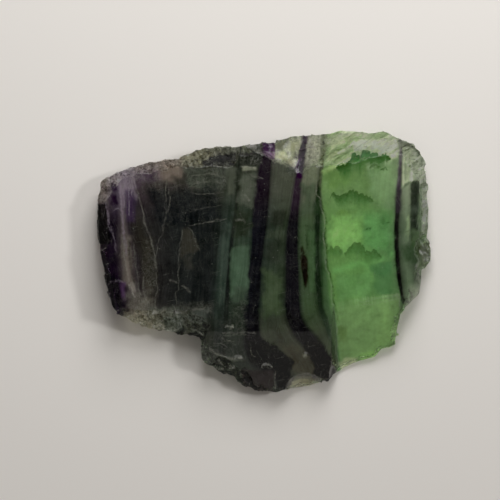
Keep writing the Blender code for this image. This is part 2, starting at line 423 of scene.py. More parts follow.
PATCHES = {
    "black facet": Patch(
        "060406", [(-45.6, 15.4), (-42.5, 15.7), (-42.0, 10.4), (-41.4, 4.6), (-45.6, 4.6)], 0.25, 0.95
    ),
    "corner skin": Patch("7A716A", [(-45.0, 22.5), (-42.2, 22.5), (-42.2, 15.6), (-45.0, 15.6)], 0.4),
    "violet fibres": Patch(
        "736876", [(-39.6, 25.5), (-34.6, 25.5), (-34.9, 17.4), (-38.9, 19.5)], 1.0, 0.7, veins=0.9
    ),
    "violet stripe": Patch("2F2339", [(-37.4, 19.0), (-35.2, 19.0), (-34.9, 10.4), (-37.1, 10.4)], 0.5, 0.8),
    "violet pool": Patch("1D1022", [(-41.4, 21.2), (-39.4, 21.2), (-39.4, 18.6), (-41.3, 18.6)], 0.25),
    "lower violet pool": Patch("1A101E", [(-41.4, 18.0), (-39.5, 18.0), (-39.5, 15.3), (-41.4, 15.3)], 0.3),
    "beige column": Patch(
        "554D46", [(-38.7, 6.9), (-36.3, 6.9), (-35.2, -6.3), (-37.6, -6.3)], 0.5, 0.75, veins=0.5
    ),
    "beige core": Patch(
        "766C62", [(-37.7, 3.5), (-37.1, 3.5), (-36.2, -5.5), (-36.9, -5.5)], 0.2, 0.7, veins=0.6
    ),
    "white blot": Patch(
        "8A847C", [(-35.9, -6.1), (-35.1, -5.8), (-34.4, -8.0), (-35.0, -8.5), (-35.6, -7.4)], 0.2, 0.7, 0.6
    ),
    "violet foot": Patch("442F4E", [(-41.0, -6.3), (-37.6, -6.3), (-37.3, -11.0), (-39.4, -10.6)], 0.6),
    "black foot": Patch(
        "120E14", [(-42.6, -5.2), (-39.2, -5.2), (-37.2, -12.0), (-37.5, -15.0), (-42.6, -13.0)], 0.4
    ),
    "grey foot": Patch(
        "48443E", [(-36.9, -8.8), (-29.4, -8.8), (-29.4, -13.8), (-37.0, -14.4)], 1.5, 0.85, veins=0.7
    ),
    "olive column": Patch(
        "24221D", [(-33.0, 6.5), (-29.8, 6.5), (-28.6, -7.0), (-32.5, -7.0)], 0.6, 0.7, veins=0.35
    ),
    "brown cloud": Patch(
        "776A61", [(-28.6, 27.0), (-23.2, 27.4), (-22.4, 23.0), (-25.9, 21.5), (-28.1, 22.8)], 1.2, 0.8,
        veins=0.3
    ),
    "violet speckle": Patch(
        "3D3040", [(-34.6, 24.4), (-28.8, 25.6), (-28.2, 22.0), (-34.2, 20.4)], 1.0, 0.7, veins=0.8
    ),
    "dark sill": Patch(
        "231F20", [(-32.6, 20.8), (-24.6, 21.2), (-20.6, 20.4), (-20.6, 18.6), (-32.6, 17.6)], 0.7, 0.7,
        veins=0.5
    ),
    "green shelf": Patch(
        "2B302A", [(-21.9, 25.3), (-10.5, 25.3), (-10.3, 19.0), (-15.9, 18.7), (-20.0, 20.0)], 0.7, 0.9,
        veins=0.7
    ),
    "paler shelf": Patch(
        "2C302A", [(-16.2, 23.6), (-10.6, 24.2), (-10.2, 19.8), (-13.8, 20.2)], 0.8, 0.8, veins=0.5
    ),
    "olive rim": Patch(
        "6F6D58", [(-21.9, 28.6), (-13.5, 30.0), (-13.9, 26.9), (-15.7, 25.4), (-21.6, 25.8)], 0.6, 0.9,
        veins=0.8
    ),
    "dark rim": Patch(
        "0B0B0A", [(-16.5, 26.9), (-13.5, 28.2), (-7.6, 29.2), (-7.6, 25.5), (-16.5, 25.0)], 0.4, 1.0, 0.25
    ),
    "pale strip": Patch("464B40", [(-10.3, 25.2), (-7.9, 25.2), (-8.1, 17.8), (-10.0, 17.8)], 0.4, 0.9),
    "dark heart": Patch(
        "151719", [(-31.5, 19.3), (-12.5, 19.6), (-11.5, 10.5), (-28.0, 9.3)], 1.0, 0.8, veins=0.12
    ),
    "strip shade": Patch("191C1A", [(-12.7, 15.5), (-8.9, 14.7), (-9.0, 6.6), (-13.2, 5.5)], 1.2, 0.6),
    "brown flap": Patch(
        "302F29", [(-22.0, 8.6), (-19.9, 8.4), (-17.4, 2.9), (-21.5, 1.5), (-22.8, -1.2), (-22.4, 4.0)], 0.25
    ),
    "flap tail": Patch("31312C", [(-22.6, 1.4), (-19.5, 1.4), (-19.3, -2.2), (-20.6, -2.4)], 0.6, 0.7),
    "shaded window": Patch("23281F", [(-7.8, 13.3), (-3.8, 13.3), (-3.9, 6.8), (-8.2, 6.8)], 1.0, 0.85),
    "open window": Patch("475F49", [(-8.8, 3.6), (-4.4, 3.8), (-4.4, -7.4), (-9.3, -10.1)], 0.35, 0.9),
    "window head": Patch(
        "50574A", [(-6.6, 23.6), (-2.8, 23.6), (-3.4, 15.0), (-7.0, 15.0)], 0.9, 0.7, veins=0.4
    ),
    "window foot": Patch("3C4A3C", [(-8.6, -7.2), (-4.9, -7.2), (-4.9, -11.5), (-8.9, -11.5)], 0.8, 0.8),
    "lower window": Patch(
        "1D211C", [(-8.9, -11.2), (-5.2, -11.0), (-5.2, -19.0), (-9.6, -19.0)], 0.9, 0.7, veins=0.5
    ),
    "smoke": Patch("22241F", [(1.6, 13.6), (6.2, 13.6), (5.4, 8.9), (0.9, 8.9)], 0.8, 0.8),
    "smoke gap": Patch("333A2D", [(0.8, 8.4), (5.1, 8.4), (5.0, 6.1), (0.6, 6.1)], 0.5, 0.6),
    "second smoke": Patch("272B24", [(0.6, 5.2), (4.6, 5.2), (4.6, -0.8), (0.6, -0.8)], 0.9, 0.6),
    "green depth": Patch("445539", [(0.0, -3.0), (4.3, -3.2), (4.0, -14.6), (-0.4, -14.6)], 1.0, 0.7),
    "brown lens": Patch(
        "17130F", [(9.5, 3.4), (10.1, 3.9), (11.1, 2.3), (11.6, -0.4), (11.7, -3.9), (11.3, -6.9),
        (10.7, -7.4), (10.1, -3.9), (9.7, -0.4)], 0.2, 1.0
    ),
    "green stripe": Patch("3E5838", [(11.9, 8.2), (13.4, 8.2), (13.5, -8.4), (12.3, -8.4)], 0.35, 0.8),
    "field heart": Patch("7DB060", [(18.1, 12.0), (26.5, 12.3), (26.5, 4.7), (18.1, 3.9)], 1.3, 0.85),
    "field side": Patch("558A4E", [(26.6, 12.6), (33.8, 12.0), (34.0, 1.6), (26.6, 4.2)], 1.0, 0.8),
    "olive cloud": Patch("50702F", [(19.4, 13.7), (24.6, 13.5), (24.6, 12.5), (19.4, 12.3)], 0.5, 0.6),
    "window blot": Patch("7E836E", [(-5.9, 25.4), (-2.2, 25.2), (-2.2, 24.2), (-5.9, 24.2)], 0.3, 0.9, 0.3),
    "crossed shadow": Patch(
        "1A1C19", [(-6.5, 28.5), (-2.2, 29.7), (-0.5, 29.0), (-0.5, 26.3), (-2.2, 25.7), (-6.5, 25.7)], 0.4,
        0.9, 0.9
    ),
    "violet head": Patch(
        "2C1532", [(-0.5, 31.5), (1.1, 32.3), (2.8, 31.7), (3.0, 29.2), (1.1, 29.4), (-0.5, 29.7)], 0.2
    ),
    "violet facet": Patch(
        "573B5C", [(-0.5, 29.6), (1.4, 29.3), (3.0, 29.0), (2.7, 27.4), (1.4, 27.8), (0.3, 28.6)], 0.15
    ),
    "scree": Patch(
        "7C8169", [(3.1, 32.5), (5.9, 33.3), (8.1, 33.9), (10.0, 33.6), (9.7, 30.6), (9.2, 27.9), (8.6, 26.1),
        (7.0, 27.1), (5.4, 25.9), (3.0, 27.3)], 0.25, 1.0, 0.5
    ),
    "scree top": Patch(
        "5C5F4E", [(3.2, 32.3), (6.2, 33.1), (6.5, 32.0), (5.1, 30.4), (3.5, 29.8)], 0.35, 0.9
    ),
    "pale scree": Patch(
        "989C7A", [(6.5, 31.7), (9.7, 32.5), (9.5, 30.4), (7.3, 29.6), (5.9, 29.6)], 0.35, 0.9
    ),
    "scree glint": Patch(
        "B6CC8C", [(3.1, 27.5), (4.1, 28.8), (5.4, 29.4), (6.2, 28.2), (5.7, 26.3), (4.1, 26.9)], 0.3, 0.95
    ),
    "scree step": Patch(
        "98987C", [(5.7, 26.9), (6.5, 27.4), (8.9, 25.8), (8.9, 24.7), (7.3, 25.2)], 0.2, 0.9
    ),
    "notch shade": Patch(
        "272B26", [(5.1, 25.2), (7.3, 25.5), (8.9, 24.3), (8.9, 23.2), (7.0, 22.8), (5.4, 23.9)], 0.4, 0.9,
        0.3
    ),
    "violet spar": Patch(
        "1F0824", [(9.9, 31.7), (10.5, 33.9), (11.7, 33.9), (11.5, 30.4), (10.9, 27.7), (10.5, 25.0),
        (10.3, 22.3), (8.8, 22.3), (8.1, 25.0), (8.8, 27.1), (9.3, 29.3)], 0.25, 0.97, 0.0
    ),
    "pale spar": Patch(
        "8B8D79", [(11.7, 33.3), (15.1, 34.2), (15.1, 29.8), (14.7, 25.8), (10.8, 25.5), (11.3, 29.3)], 0.3,
        0.95, 0.3
    ),
    "spar foot": Patch("5C624F", [(10.8, 25.8), (14.7, 26.1), (14.3, 20.9), (10.5, 21.2)], 0.5, 0.85, 0.3),
    "spar shade": Patch("384434", [(10.3, 20.7), (13.5, 20.7), (13.0, 12.6), (10.0, 12.6)], 0.8, 0.8),
    "column head": Patch(
        "474B3A", [(15.2, 34.4), (17.0, 33.9), (16.5, 29.8), (15.7, 26.3), (15.1, 20.1), (14.6, 20.1),
        (14.9, 27.1)], 0.3, 0.85
    ),
    "column wedge": Patch(
        "1D291B", [(14.0, 20.1), (15.0, 17.4), (15.5, 12.3), (13.0, 12.3), (13.6, 17.1)], 0.4, 0.9
    ),
    "rim cream": Patch(
        "D2DDB4", [(24.0, 29.8), (24.8, 32.3), (29.2, 33.3), (35.9, 32.8), (36.2, 27.1), (33.8, 27.7),
        (32.4, 29.6), (29.2, 30.1), (25.9, 30.1)], 0.5, 0.95, 0.3
    ),
    "left cream": Patch(
        "BFCE9C", [(16.7, 27.1), (17.8, 30.6), (19.4, 32.3), (23.2, 34.2), (26.2, 34.7), (24.0, 32.0),
        (21.9, 31.7), (18.6, 29.8), (23.2, 29.6), (18.9, 26.3)], 0.6, 0.9, 0.3
    ),
    "grey brow": Patch(
        "A9B394", [(16.7, 32.3), (18.6, 34.2), (22.1, 35.2), (23.8, 34.7), (21.9, 33.1), (18.9, 31.7),
        (17.0, 30.4)], 0.5, 0.85, 0.4
    ),
    "corner olive": Patch(
        "7E9468", [(28.6, 34.7), (32.4, 35.0), (33.5, 33.3), (31.1, 32.5), (28.4, 32.8)], 0.4, 0.85
    ),
    "olive streak": Patch(
        "5F7A4A", [(21.6, 32.0), (23.5, 32.9), (26.2, 34.3), (26.7, 33.5), (24.0, 31.7), (22.1, 31.5)], 0.3,
        0.85
    ),
    "olive lens": Patch(
        "8DA277", [(17.3, 29.6), (19.4, 31.2), (21.9, 31.7), (24.0, 31.2), (22.1, 30.2), (19.7, 29.6),
        (17.8, 28.8)], 0.3, 0.85
    ),
    "olive fold": Patch(
        "7A9462", [(17.3, 26.6), (18.9, 28.4), (23.2, 30.0), (23.8, 29.3), (20.8, 27.8), (18.4, 26.3)], 0.35,
        0.8
    ),
    "streak": Patch(
        "54703F", [(19.7, 30.9), (21.1, 31.5), (23.0, 31.6), (24.0, 30.9), (22.1, 30.1), (20.0, 29.7),
        (17.8, 29.4)], 0.15, 0.75
    ),
    "second streak": Patch(
        "5F7B49", [(19.4, 27.7), (21.6, 28.9), (23.8, 30.0), (24.0, 29.6), (21.9, 28.4), (20.0, 27.3)], 0.12,
        0.7
    ),
    "third streak": Patch(
        "506A3C", [(21.3, 33.1), (22.7, 33.6), (24.8, 34.0), (25.1, 33.2), (23.2, 32.5), (21.9, 32.0)], 0.15,
        0.7
    ),
    "fourth streak": Patch(
        "66804F", [(25.9, 32.8), (28.1, 33.6), (30.8, 34.0), (32.9, 33.6), (30.8, 33.1), (28.1, 32.5)], 0.2,
        0.6
    ),
    "fifth streak": Patch(
        "5A6A48", [(33.2, 29.0), (34.8, 30.2), (35.9, 30.6), (35.9, 29.8), (34.6, 28.8), (33.2, 28.1)], 0.2,
        0.75
    ),
    "bright streak": Patch(
        "DCEBC0", [(19.4, 29.0), (21.9, 30.5), (24.0, 32.3), (24.3, 31.9), (22.4, 30.1), (20.0, 28.5)], 0.12,
        0.9
    ),
    "second bright streak": Patch(
        "D2E6B4", [(17.8, 25.0), (20.5, 26.1), (23.0, 27.8), (23.2, 27.4), (20.8, 25.7), (18.1, 24.4)], 0.12,
        0.8
    ),
    # painted highlight: white glints on the ledges above the green field
    "painted white glints": Patch(
        "E0EDC8", [(23.8, 30.9), (24.6, 29.8), (25.7, 29.2), (26.5, 30.9), (25.4, 32.0), (24.3, 31.7)], 0.15,
        0.9
    ),
    "pale fold": Patch(
        "9DBB74", [(15.4, 24.2), (18.9, 26.1), (23.0, 28.2), (23.5, 27.5), (20.0, 25.4), (15.9, 23.4)], 0.3,
        0.9
    ),
    "field head": Patch(
        "57783F", [(15.9, 23.9), (20.0, 25.2), (23.2, 23.9), (22.1, 20.1), (16.2, 19.0)], 1.2, 0.8
    ),
    "side streaks": Patch(
        "A9C094", [(27.5, 26.1), (32.7, 27.3), (34.3, 27.9), (34.0, 26.1), (30.2, 25.2), (27.8, 24.7)], 0.3,
        0.8, 0.6
    ),
    "veiled field": Patch(
        "67855A", [(28.1, 23.9), (34.3, 26.6), (34.8, 25.8), (34.3, 20.1), (34.0, 13.4), (32.7, 15.0),
        (29.2, 17.4)], 1.1, 0.8, 0.15
    ),
    "lilac spar": Patch(
        "575059", [(35.9, 32.8), (37.0, 32.5), (36.9, 25.8), (36.5, 20.1), (35.5, 20.1), (35.9, 25.8)], 0.2,
        0.85
    ),
    "pale window": Patch(
        "AAB896", [(37.0, 30.9), (39.4, 30.1), (39.7, 21.7), (39.3, 20.7), (37.0, 19.8)], 0.2, 0.9, 0.9
    ),
    "right mottle": Patch(
        "8D9880", [(39.7, 30.9), (42.1, 29.3), (43.2, 24.4), (43.5, 17.4), (41.9, 17.1), (41.3, 21.7),
        (39.7, 21.7)], 0.4, 0.85, 0.9
    ),
    "shade strip": Patch(
        "1A1E1A", [(39.2, 20.9), (39.4, 21.3), (41.6, 21.7), (41.7, 19.0), (41.4, 12.3), (41.2, 5.5),
        (40.0, 3.4), (39.4, 5.5), (39.2, 12.3)], 0.15, 0.92
    ),
    "shade gap": Patch("3C463A", [(39.6, 14.7), (41.2, 15.0), (41.2, 12.8), (39.6, 12.6)], 0.4, 0.5),
    "spar end": Patch(
        "29232A", [(36.2, 26.6), (37.1, 26.6), (37.0, 22.8), (36.7, 19.0), (36.5, 13.1), (35.0, 12.8),
        (35.2, 17.4), (35.9, 22.8)], 0.3, 0.85
    ),
    "corner shade": Patch(
        "3E4036", [(35.6, 32.5), (37.3, 32.3), (39.4, 31.6), (41.6, 30.2), (42.9, 28.2), (43.7, 25.0),
        (43.1, 25.0), (42.3, 27.7), (40.8, 29.3), (38.9, 30.4), (37.3, 30.2), (35.9, 30.0)], 0.25, 0.9, 1.0
    ),
    "window stripe": Patch(
        "55664C", [(37.5, 29.8), (37.9, 29.8), (38.2, 25.5), (38.0, 21.2), (37.6, 21.2)], 0.15, 0.8
    ),
    "second window stripe": Patch(
        "66775A", [(38.7, 28.2), (39.0, 27.7), (39.1, 22.8), (38.6, 21.2), (38.6, 25.0)], 0.15, 0.75
    ),
    "white line": Patch("E2ECD8", [(39.4, 26.1), (39.7, 25.5), (39.7, 21.7), (39.3, 21.2)], 0.12, 0.9),
    "window sill": Patch(
        "3A4936", [(37.3, 20.1), (37.8, 20.9), (39.4, 21.6), (39.4, 20.9), (38.1, 20.1), (37.3, 19.4)], 0.15,
        0.85
    ),
    "green line": Patch(
        "A4BE8A", [(38.4, 12.0), (38.8, 12.6), (38.9, 9.3), (38.6, 5.5), (38.3, 6.6)], 0.15, 0.6
    ),
    "side green": Patch(
        "55694D", [(41.6, 20.1), (42.5, 20.1), (42.2, 12.3), (42.0, 6.6), (43.5, 7.2), (43.7, 3.9),
        (41.4, 2.8), (41.3, 9.6)], 0.25, 0.85
    ),
    "right streak": Patch(
        "D5E5C4", [(42.4, 16.9), (43.5, 16.1), (43.3, 10.4), (42.9, 7.4), (42.3, 8.0), (42.5, 12.3)], 0.2,
        0.95
    ),
    "right depth": Patch(
        "46593D", [(40.0, 8.5), (43.2, 7.2), (43.5, 4.5), (41.6, 3.4), (39.4, 3.9)], 0.6, 0.85
    ),
    "right clump": Patch("486F3E", [(30.8, 13.5), (34.6, 13.7), (34.4, 10.9), (31.3, 10.6)], 0.6, 0.8),
    "bright seam": Patch("69A75B", [(18.1, -1.7), (34.6, 2.2), (34.6, 0.0), (18.1, -3.7)], 0.6, 0.45),
    "deep green": Patch("43693F", [(29.3, -2.2), (34.3, -1.4), (34.5, -9.0), (29.6, -9.8)], 1.1, 0.9),
    "lower field": Patch("5C8951", [(18.9, -4.2), (28.5, -3.0), (28.8, -9.4), (19.8, -10.6)], 0.8, 0.6),
    "depth edge": Patch(
        "3F6B3F", [(28.6, -1.1), (30.8, -0.5), (33.5, -0.2), (34.3, -0.4), (34.2, -3.1), (32.4, -4.2),
        (28.6, -3.1)], 0.18, 0.75
    ),
    "side seam": Patch("3B6238", [(32.9, 4.7), (33.4, 4.7), (33.6, -0.4), (33.2, -0.4)], 0.2, 0.6),
    "clump": Patch(
        "41683A", [(30.8, 12.0), (32.1, 12.7), (33.9, 12.3), (34.3, 10.9), (33.6, 9.5), (32.4, 10.3),
        (31.3, 10.0)], 0.22, 0.75
    ),
    "dash": Patch("355C31", [(26.6, 8.3), (27.5, 8.9), (28.6, 8.9), (28.6, 8.5), (27.7, 8.5)], 0.12, 0.85),
    "second dash": Patch("3D6634", [(23.4, 7.8), (24.0, 8.2), (24.6, 8.0), (24.2, 7.7)], 0.14, 0.8),
    "cleavage": Patch(
        "6C8C59", [(19.3, -11.3), (23.2, -10.6), (27.3, -10.0), (31.3, -9.5), (36.5, -8.8), (35.9, -13.4),
        (35.0, -22.3), (27.3, -25.8), (20.5, -27.4), (19.8, -22.8), (19.4, -17.4)], 0.06, 0.97, 0.0
    ),
    "cleavage edge": Patch(
        "93B27E", [(22.7, -10.8), (27.3, -10.0), (31.3, -9.5), (36.3, -8.8), (36.3, -9.1), (31.3, -9.9),
        (27.3, -10.4), (22.7, -11.1)], 0.08, 0.7
    ),
    "cleavage glow": Patch("7FA464", [(30.5, -10.7), (35.9, -9.9), (34.8, -21.7), (31.3, -22.8)], 1.2, 0.5),
    "cleavage foot": Patch("4A5C33", [(19.9, -17.4), (22.4, -17.8), (22.1, -21.6), (20.0, -22.0)], 0.6, 0.7),
    "green lip": Patch("7CA45E", [(25.4, -25.2), (31.1, -23.7), (30.5, -26.4), (25.9, -27.5)], 0.35, 0.9),
    "second lip": Patch(
        "A9B48E", [(19.7, -27.6), (21.9, -26.1), (25.4, -25.8), (24.8, -27.8), (21.1, -29.6)], 0.35, 0.9
    ),
    "first lip": Patch(
        "A6A28A", [(6.0, -35.0), (6.8, -31.9), (11.1, -31.0), (15.1, -31.6), (14.8, -33.4), (9.7, -35.2)],
        0.3, 0.95
    ),
    "lobe window": Patch(
        "3C3A2E", [(3.0, -21.5), (9.7, -22.8), (14.4, -28.6), (13.4, -31.0), (8.6, -30.3), (5.4, -24.7)], 0.8,
        0.9
    ),
    "lobe foot": Patch("252020", [(-6.3, -29.2), (2.5, -29.6), (2.4, -36.0), (-6.0, -34.0)], 0.4, 0.9),
    "lobe night": Patch(
        "040405", [(-4.4, -21.8), (2.7, -22.0), (8.0, -27.2), (6.6, -30.6), (3.6, -35.5), (2.9, -29.0),
        (-4.4, -27.4)], 0.5, veins=0.06
    ),
    "last violet": Patch(
        "0B0709", [(9.8, -22.0), (14.4, -22.0), (19.2, -27.0), (18.9, -33.0), (13.4, -31.0), (13.0, -27.0)],
        0.6
    ),
    "knuckle": Patch(
        "242622", [(-17.4, -21.5), (-13.8, -23.6), (-10.6, -26.0), (-12.0, -30.0), (-17.6, -26.0)], 0.6, 0.8,
        veins=0.5
    ),
    "foot fringe": Patch(
        "2B2C28", [(-31.3, -12.0), (-28.1, -12.8), (-24.8, -13.1), (-23.2, -11.5), (-20.5, -12.3),
        (-18.4, -11.7), (-14.0, -11.5), (-14.0, -14.2), (-30.8, -14.4)], 0.8, 0.75, 1.0
    ),
    "mottled foot": Patch(
        "87826F", [(-37.4, -13.6), (-26.9, -13.6), (-25.9, -19.0), (-37.4, -17.6)], 0.8, 0.8, veins=1.0
    ),
    "foot shade": Patch(
        "42473F", [(-31.3, -12.8), (-23.2, -12.6), (-21.3, -13.9), (-21.6, -18.8), (-30.2, -17.7)], 0.8, 0.6,
        1.0
    ),
    "strip end": Patch(
        "1D211E", [(-12.7, -11.5), (-8.9, -10.1), (-8.9, -23.4), (-13.8, -23.4)], 1.4, 0.8, 0.15
    ),
    # painted shadows: near-black triangles along the lower rim beside the notch
    "undercut_shadow": Patch(
        "0A0A09", [(-25.9, -18.8), (-24.0, -19.4), (-22.4, -18.6), (-21.9, -17.4), (-21.6, -19.6),
        (-23.5, -20.9), (-25.4, -20.4)], 0.15
    ),
    "second undercut": Patch(
        "0B0B0A", [(-20.5, -19.6), (-18.4, -19.3), (-16.5, -20.2), (-16.5, -21.5), (-20.0, -20.9)], 0.15
    ),
    "shell": Patch("585E56", [(-27.4, -15.0), (-22.4, -14.6), (-22.4, -18.6), (-27.0, -19.2)], 0.5, 0.8),
    "dark terrace": Patch(
        "3A3F3A", [(-21.0, -13.6), (-15.0, -12.6), (-15.4, -16.5), (-20.0, -17.0)], 0.5, 0.8, veins=0.7
    ),
    "dark corner": Patch(
        "2D3F29", [(36.6, 3.6), (40.0, 4.2), (42.4, 5.3), (43.5, 3.9), (42.4, 0.4), (40.0, -0.7),
        (37.0, -0.4)], 1.0, 0.85
    ),
    "nub": Patch("434A36", [(41.0, 5.0), (45.0, 5.0), (45.0, -2.0), (41.6, -1.6)], 0.6, 0.9),
    "pale corner": Patch("9FA68B", [(39.2, -6.7), (42.4, -6.7), (41.8, -10.6), (38.1, -12.2)], 0.5, 0.85),
}


@dataclass
class Slab:
    """The stone itself, as one closed surface.

    Attributes:
        thickness: height of the polished face.
        widest_at: height at which the rim reaches furthest out.
        foot_inset: how far the rim draws in from there down to the sawn foot.
        cells: cells along one side of the upper grid.
        wall_rows: rows of cells down the broken side.
        middle: point that the grid's rings shrink to, from which every stretch of the rim is in sight.
        rim_wobble: how far the rim strays from its outline.
        pull: how far the upper grid's rings are packed outward, above 1.
        least_height: the least height that a break leaves at the rim.
        chip: width of a chip of the broken rim.
        wall_chip: width of a chip of the broken side.
        splinter: width of the smaller chips on both.
        ledge: distance between the cleavage ledges above the green field.
        fine_ledge: distance between the finer steps on them.
        ledge_height: how high a ledge stands.
        fine_ledge_height: how high a finer step stands.
        girth: radius of the pipe that the side's chips are laid out on.
        wall_rough: how broken the side is, from 0 to 1.
        sill: width of the strip between the foot and the sawn face's own grid.
        sharp_from: degrees between two faces from which their edge is sharp.
    """

    thickness: float = 9.0
    widest_at: float = 2.6
    foot_inset: float = 1.1
    cells: int = 256
    wall_rows: int = 14
    middle: Point = (-1.0, 3.0)
    rim_wobble: float = 0.13
    pull: float = 1.35
    least_height: float = 0.9
    chip: float = 2.7
    wall_chip: float = 2.6
    splinter: float = 1.1
    ledge: float = 1.7
    fine_ledge: float = 0.62
    ledge_height: float = 0.42
    fine_ledge_height: float = 0.14
    girth: float = 44.0
    wall_rough: float = 0.9
    sill: float = 0.5
    sharp_from: float = 38.0

    def rim(self) -> Array:
        """Points round the rim, evenly spaced along the outline, with a small wobble along its normal.

        Returns:
            An array of four times `cells` points.
        """
        count = 4 * self.cells
        corners = np.array(OUTLINE + OUTLINE[:1])
        reach = np.concatenate(([0.0], np.cumsum(np.hypot(*np.diff(corners, axis=0).T))))
        run = np.linspace(0.0, reach[-1], count, endpoint=False)
        points = np.stack([np.interp(run, reach, corners[:, axis]) for axis in (0, 1)], axis=1)
        sway = cloud(points[:, 0], points[:, 1], 2.1, 11) + 0.5 * cloud(points[:, 0], points[:, 1], 0.8, 12)
        return points + self.outward(points) * (sway * self.rim_wobble)[:, None]

    @staticmethod
    def outward(ring: Array) -> Array:
        """Unit normals of a clockwise ring: its chord from four points before to four after, turned left.

        Args:
            ring: the ring's points.

        Returns:
            A normal for each point.
        """
        chord = np.roll(ring, -4, axis=0) - np.roll(ring, 4, axis=0)
        chord /= np.maximum(np.hypot(chord[:, 0], chord[:, 1]), 1e-9)[:, None]
        return np.stack([-chord[:, 1], chord[:, 0]], axis=1)

    def crown(self, x: Array, y: Array) -> tuple[Array, Array]:
        """Height of the upper side: the lowest of the polished face, the breaks and the scoops, then chipped.

        Clouds of 2.4 mm and of 0.9 mm make their edges stray, least where the stone cleaved.

        Args:
            x: places across.
            y: places along.

        Returns:
            The height and the roughness, from 0 to 1, at each place.
        """
        stray_x = 0.55 * cloud(x, y, 2.4, 21) + 0.25 * cloud(x, y, 0.9, 22)
        stray_y = 0.55 * cloud(x, y, 2.4, 23) + 0.25 * cloud(x, y, 0.9, 24)
        height = np.full(x.shape, self.thickness)
        rough = np.zeros(x.shape)
        for piece in BREAKS.values():
            stray = 0.1 if piece.grain is Grain.CLEAVED else 1.0
            plane = piece.height(x + stray * stray_x, y + stray * stray_y, self.thickness)
            rough = np.where(plane < height, piece.grain.value, rough)
            height = np.minimum(height, plane)
        for scoop in SCOOPS.values():
            hollow = scoop.height(x + 0.3 * stray_x, y + 0.3 * stray_y)
            rough = np.where(hollow < height, Grain.CLEAVED.value, rough)
            height = np.minimum(height, hollow)
        fallen = smooth_step(0.0, 0.5, self.thickness - height)
        broken = smooth_step(0.0, 0.12, self.thickness - height)
        relief = chips(x + stray_x, y + stray_y, self.chip, tilt=0.24, seed=31)
        relief += chips(x + stray_x, y, self.splinter, tilt=0.28, seed=32)
        relief += 0.10 * cloud(x, y, 0.6, 33)
        height = np.minimum(height + relief * rough * fallen, self.thickness)
        height = np.maximum(height + self.ledges(x, y) * fallen, self.least_height)
        return height, rough * broken

    def ledges(self, x: Array, y: Array) -> Array:
        """Cleavage ledges above the green field: saw teeth across lines that climb to the right.

        Args:
            x: places across.
            y: places along.

        Returns:
            The change of height at each place.
        """
        lean = math.radians(LEDGE_LEAN)
        across = y * math.cos(lean) - x * math.sin(lean) + 0.9 * cloud(x, y, 5.0, 41)
        field = smooth_step(15.0, 17.0, x) * smooth_step(37.5, 35.5, x) * smooth_step(22.0, 26.0, y)
        tooth = np.mod(across, self.ledge) / self.ledge
        comb = np.mod(across + 0.4 * cloud(x, y, 2.0, 42), self.fine_ledge) / self.fine_ledge
        return field * (self.ledge_height * (tooth - 0.5) + self.fine_ledge_height * (comb - 0.5))

    def ringed_grid(self, rim: Array, cells: int, pull: float) -> tuple[Array, Array]:
        """Lay a square grid in a closed ring, each square ring a copy of it shrunk to r (p - (p - 1) r^2).

        Args:
            rim: the ring, with four points per cell.
            cells: cells along the square's side.
            pull: p, above 1 to pack the rings outward.

        Returns:
            X and Y of the grid.
        """
        side = np.linspace(-1.0, 1.0, cells + 1)
        across, along = np.meshgrid(side, side)
        ring = np.maximum(np.abs(across), np.abs(along))
        safe = np.where(ring > 0.0, ring, 1.0)
        over, up = across / safe, along / safe
        turn = np.select(
            [up >= 1.0 - 1e-9, over >= 1.0 - 1e-9, up <= -1.0 + 1e-9],
            [over + 1.0, 3.0 - up, 5.0 - over],
            up + 7.0,
        )
        place = np.mod(turn / 8.0 * len(rim), len(rim))
        knots = np.arange(len(rim) + 1)
        closed = np.concatenate((rim, rim[:1]))
        shrink = ring * (pull - (pull - 1.0) * ring**2)
        x = self.middle[0] + shrink * (np.interp(place, knots, closed[:, 0]) - self.middle[0])
        y = self.middle[1] + shrink * (np.interp(place, knots, closed[:, 1]) - self.middle[1])
        return x, y

    @staticmethod
    def border(cells: int) -> Array:
        """Indexes of a square grid's border points, clockwise from its upper left corner.

        Args:
            cells: cells along its side.

        Returns:
            The indexes.
        """
        step = cells + 1
        upper = cells * step + np.arange(cells)
        right = cells + step * np.arange(cells, 0, -1)
        lower = np.arange(cells, 0, -1)
        left = step * np.arange(cells)
        return np.concatenate((upper, right, lower, left))

    @staticmethod
    def grid_faces(cells: int, first: int, upward: bool) -> Array:
        """Four-cornered faces of a square grid.

        Args:
            cells: cells along its side.
            first: index of its first point.
            upward: whether the faces look up or down.

        Returns:
            The faces' corners.
        """
        step = cells + 1
        corner = (np.arange(cells)[:, None] * step + np.arange(cells)).ravel() + first
        ring = (0, 1, step + 1, step) if upward else (0, step, step + 1, 1)
        return np.stack([corner + shift for shift in ring], axis=1)

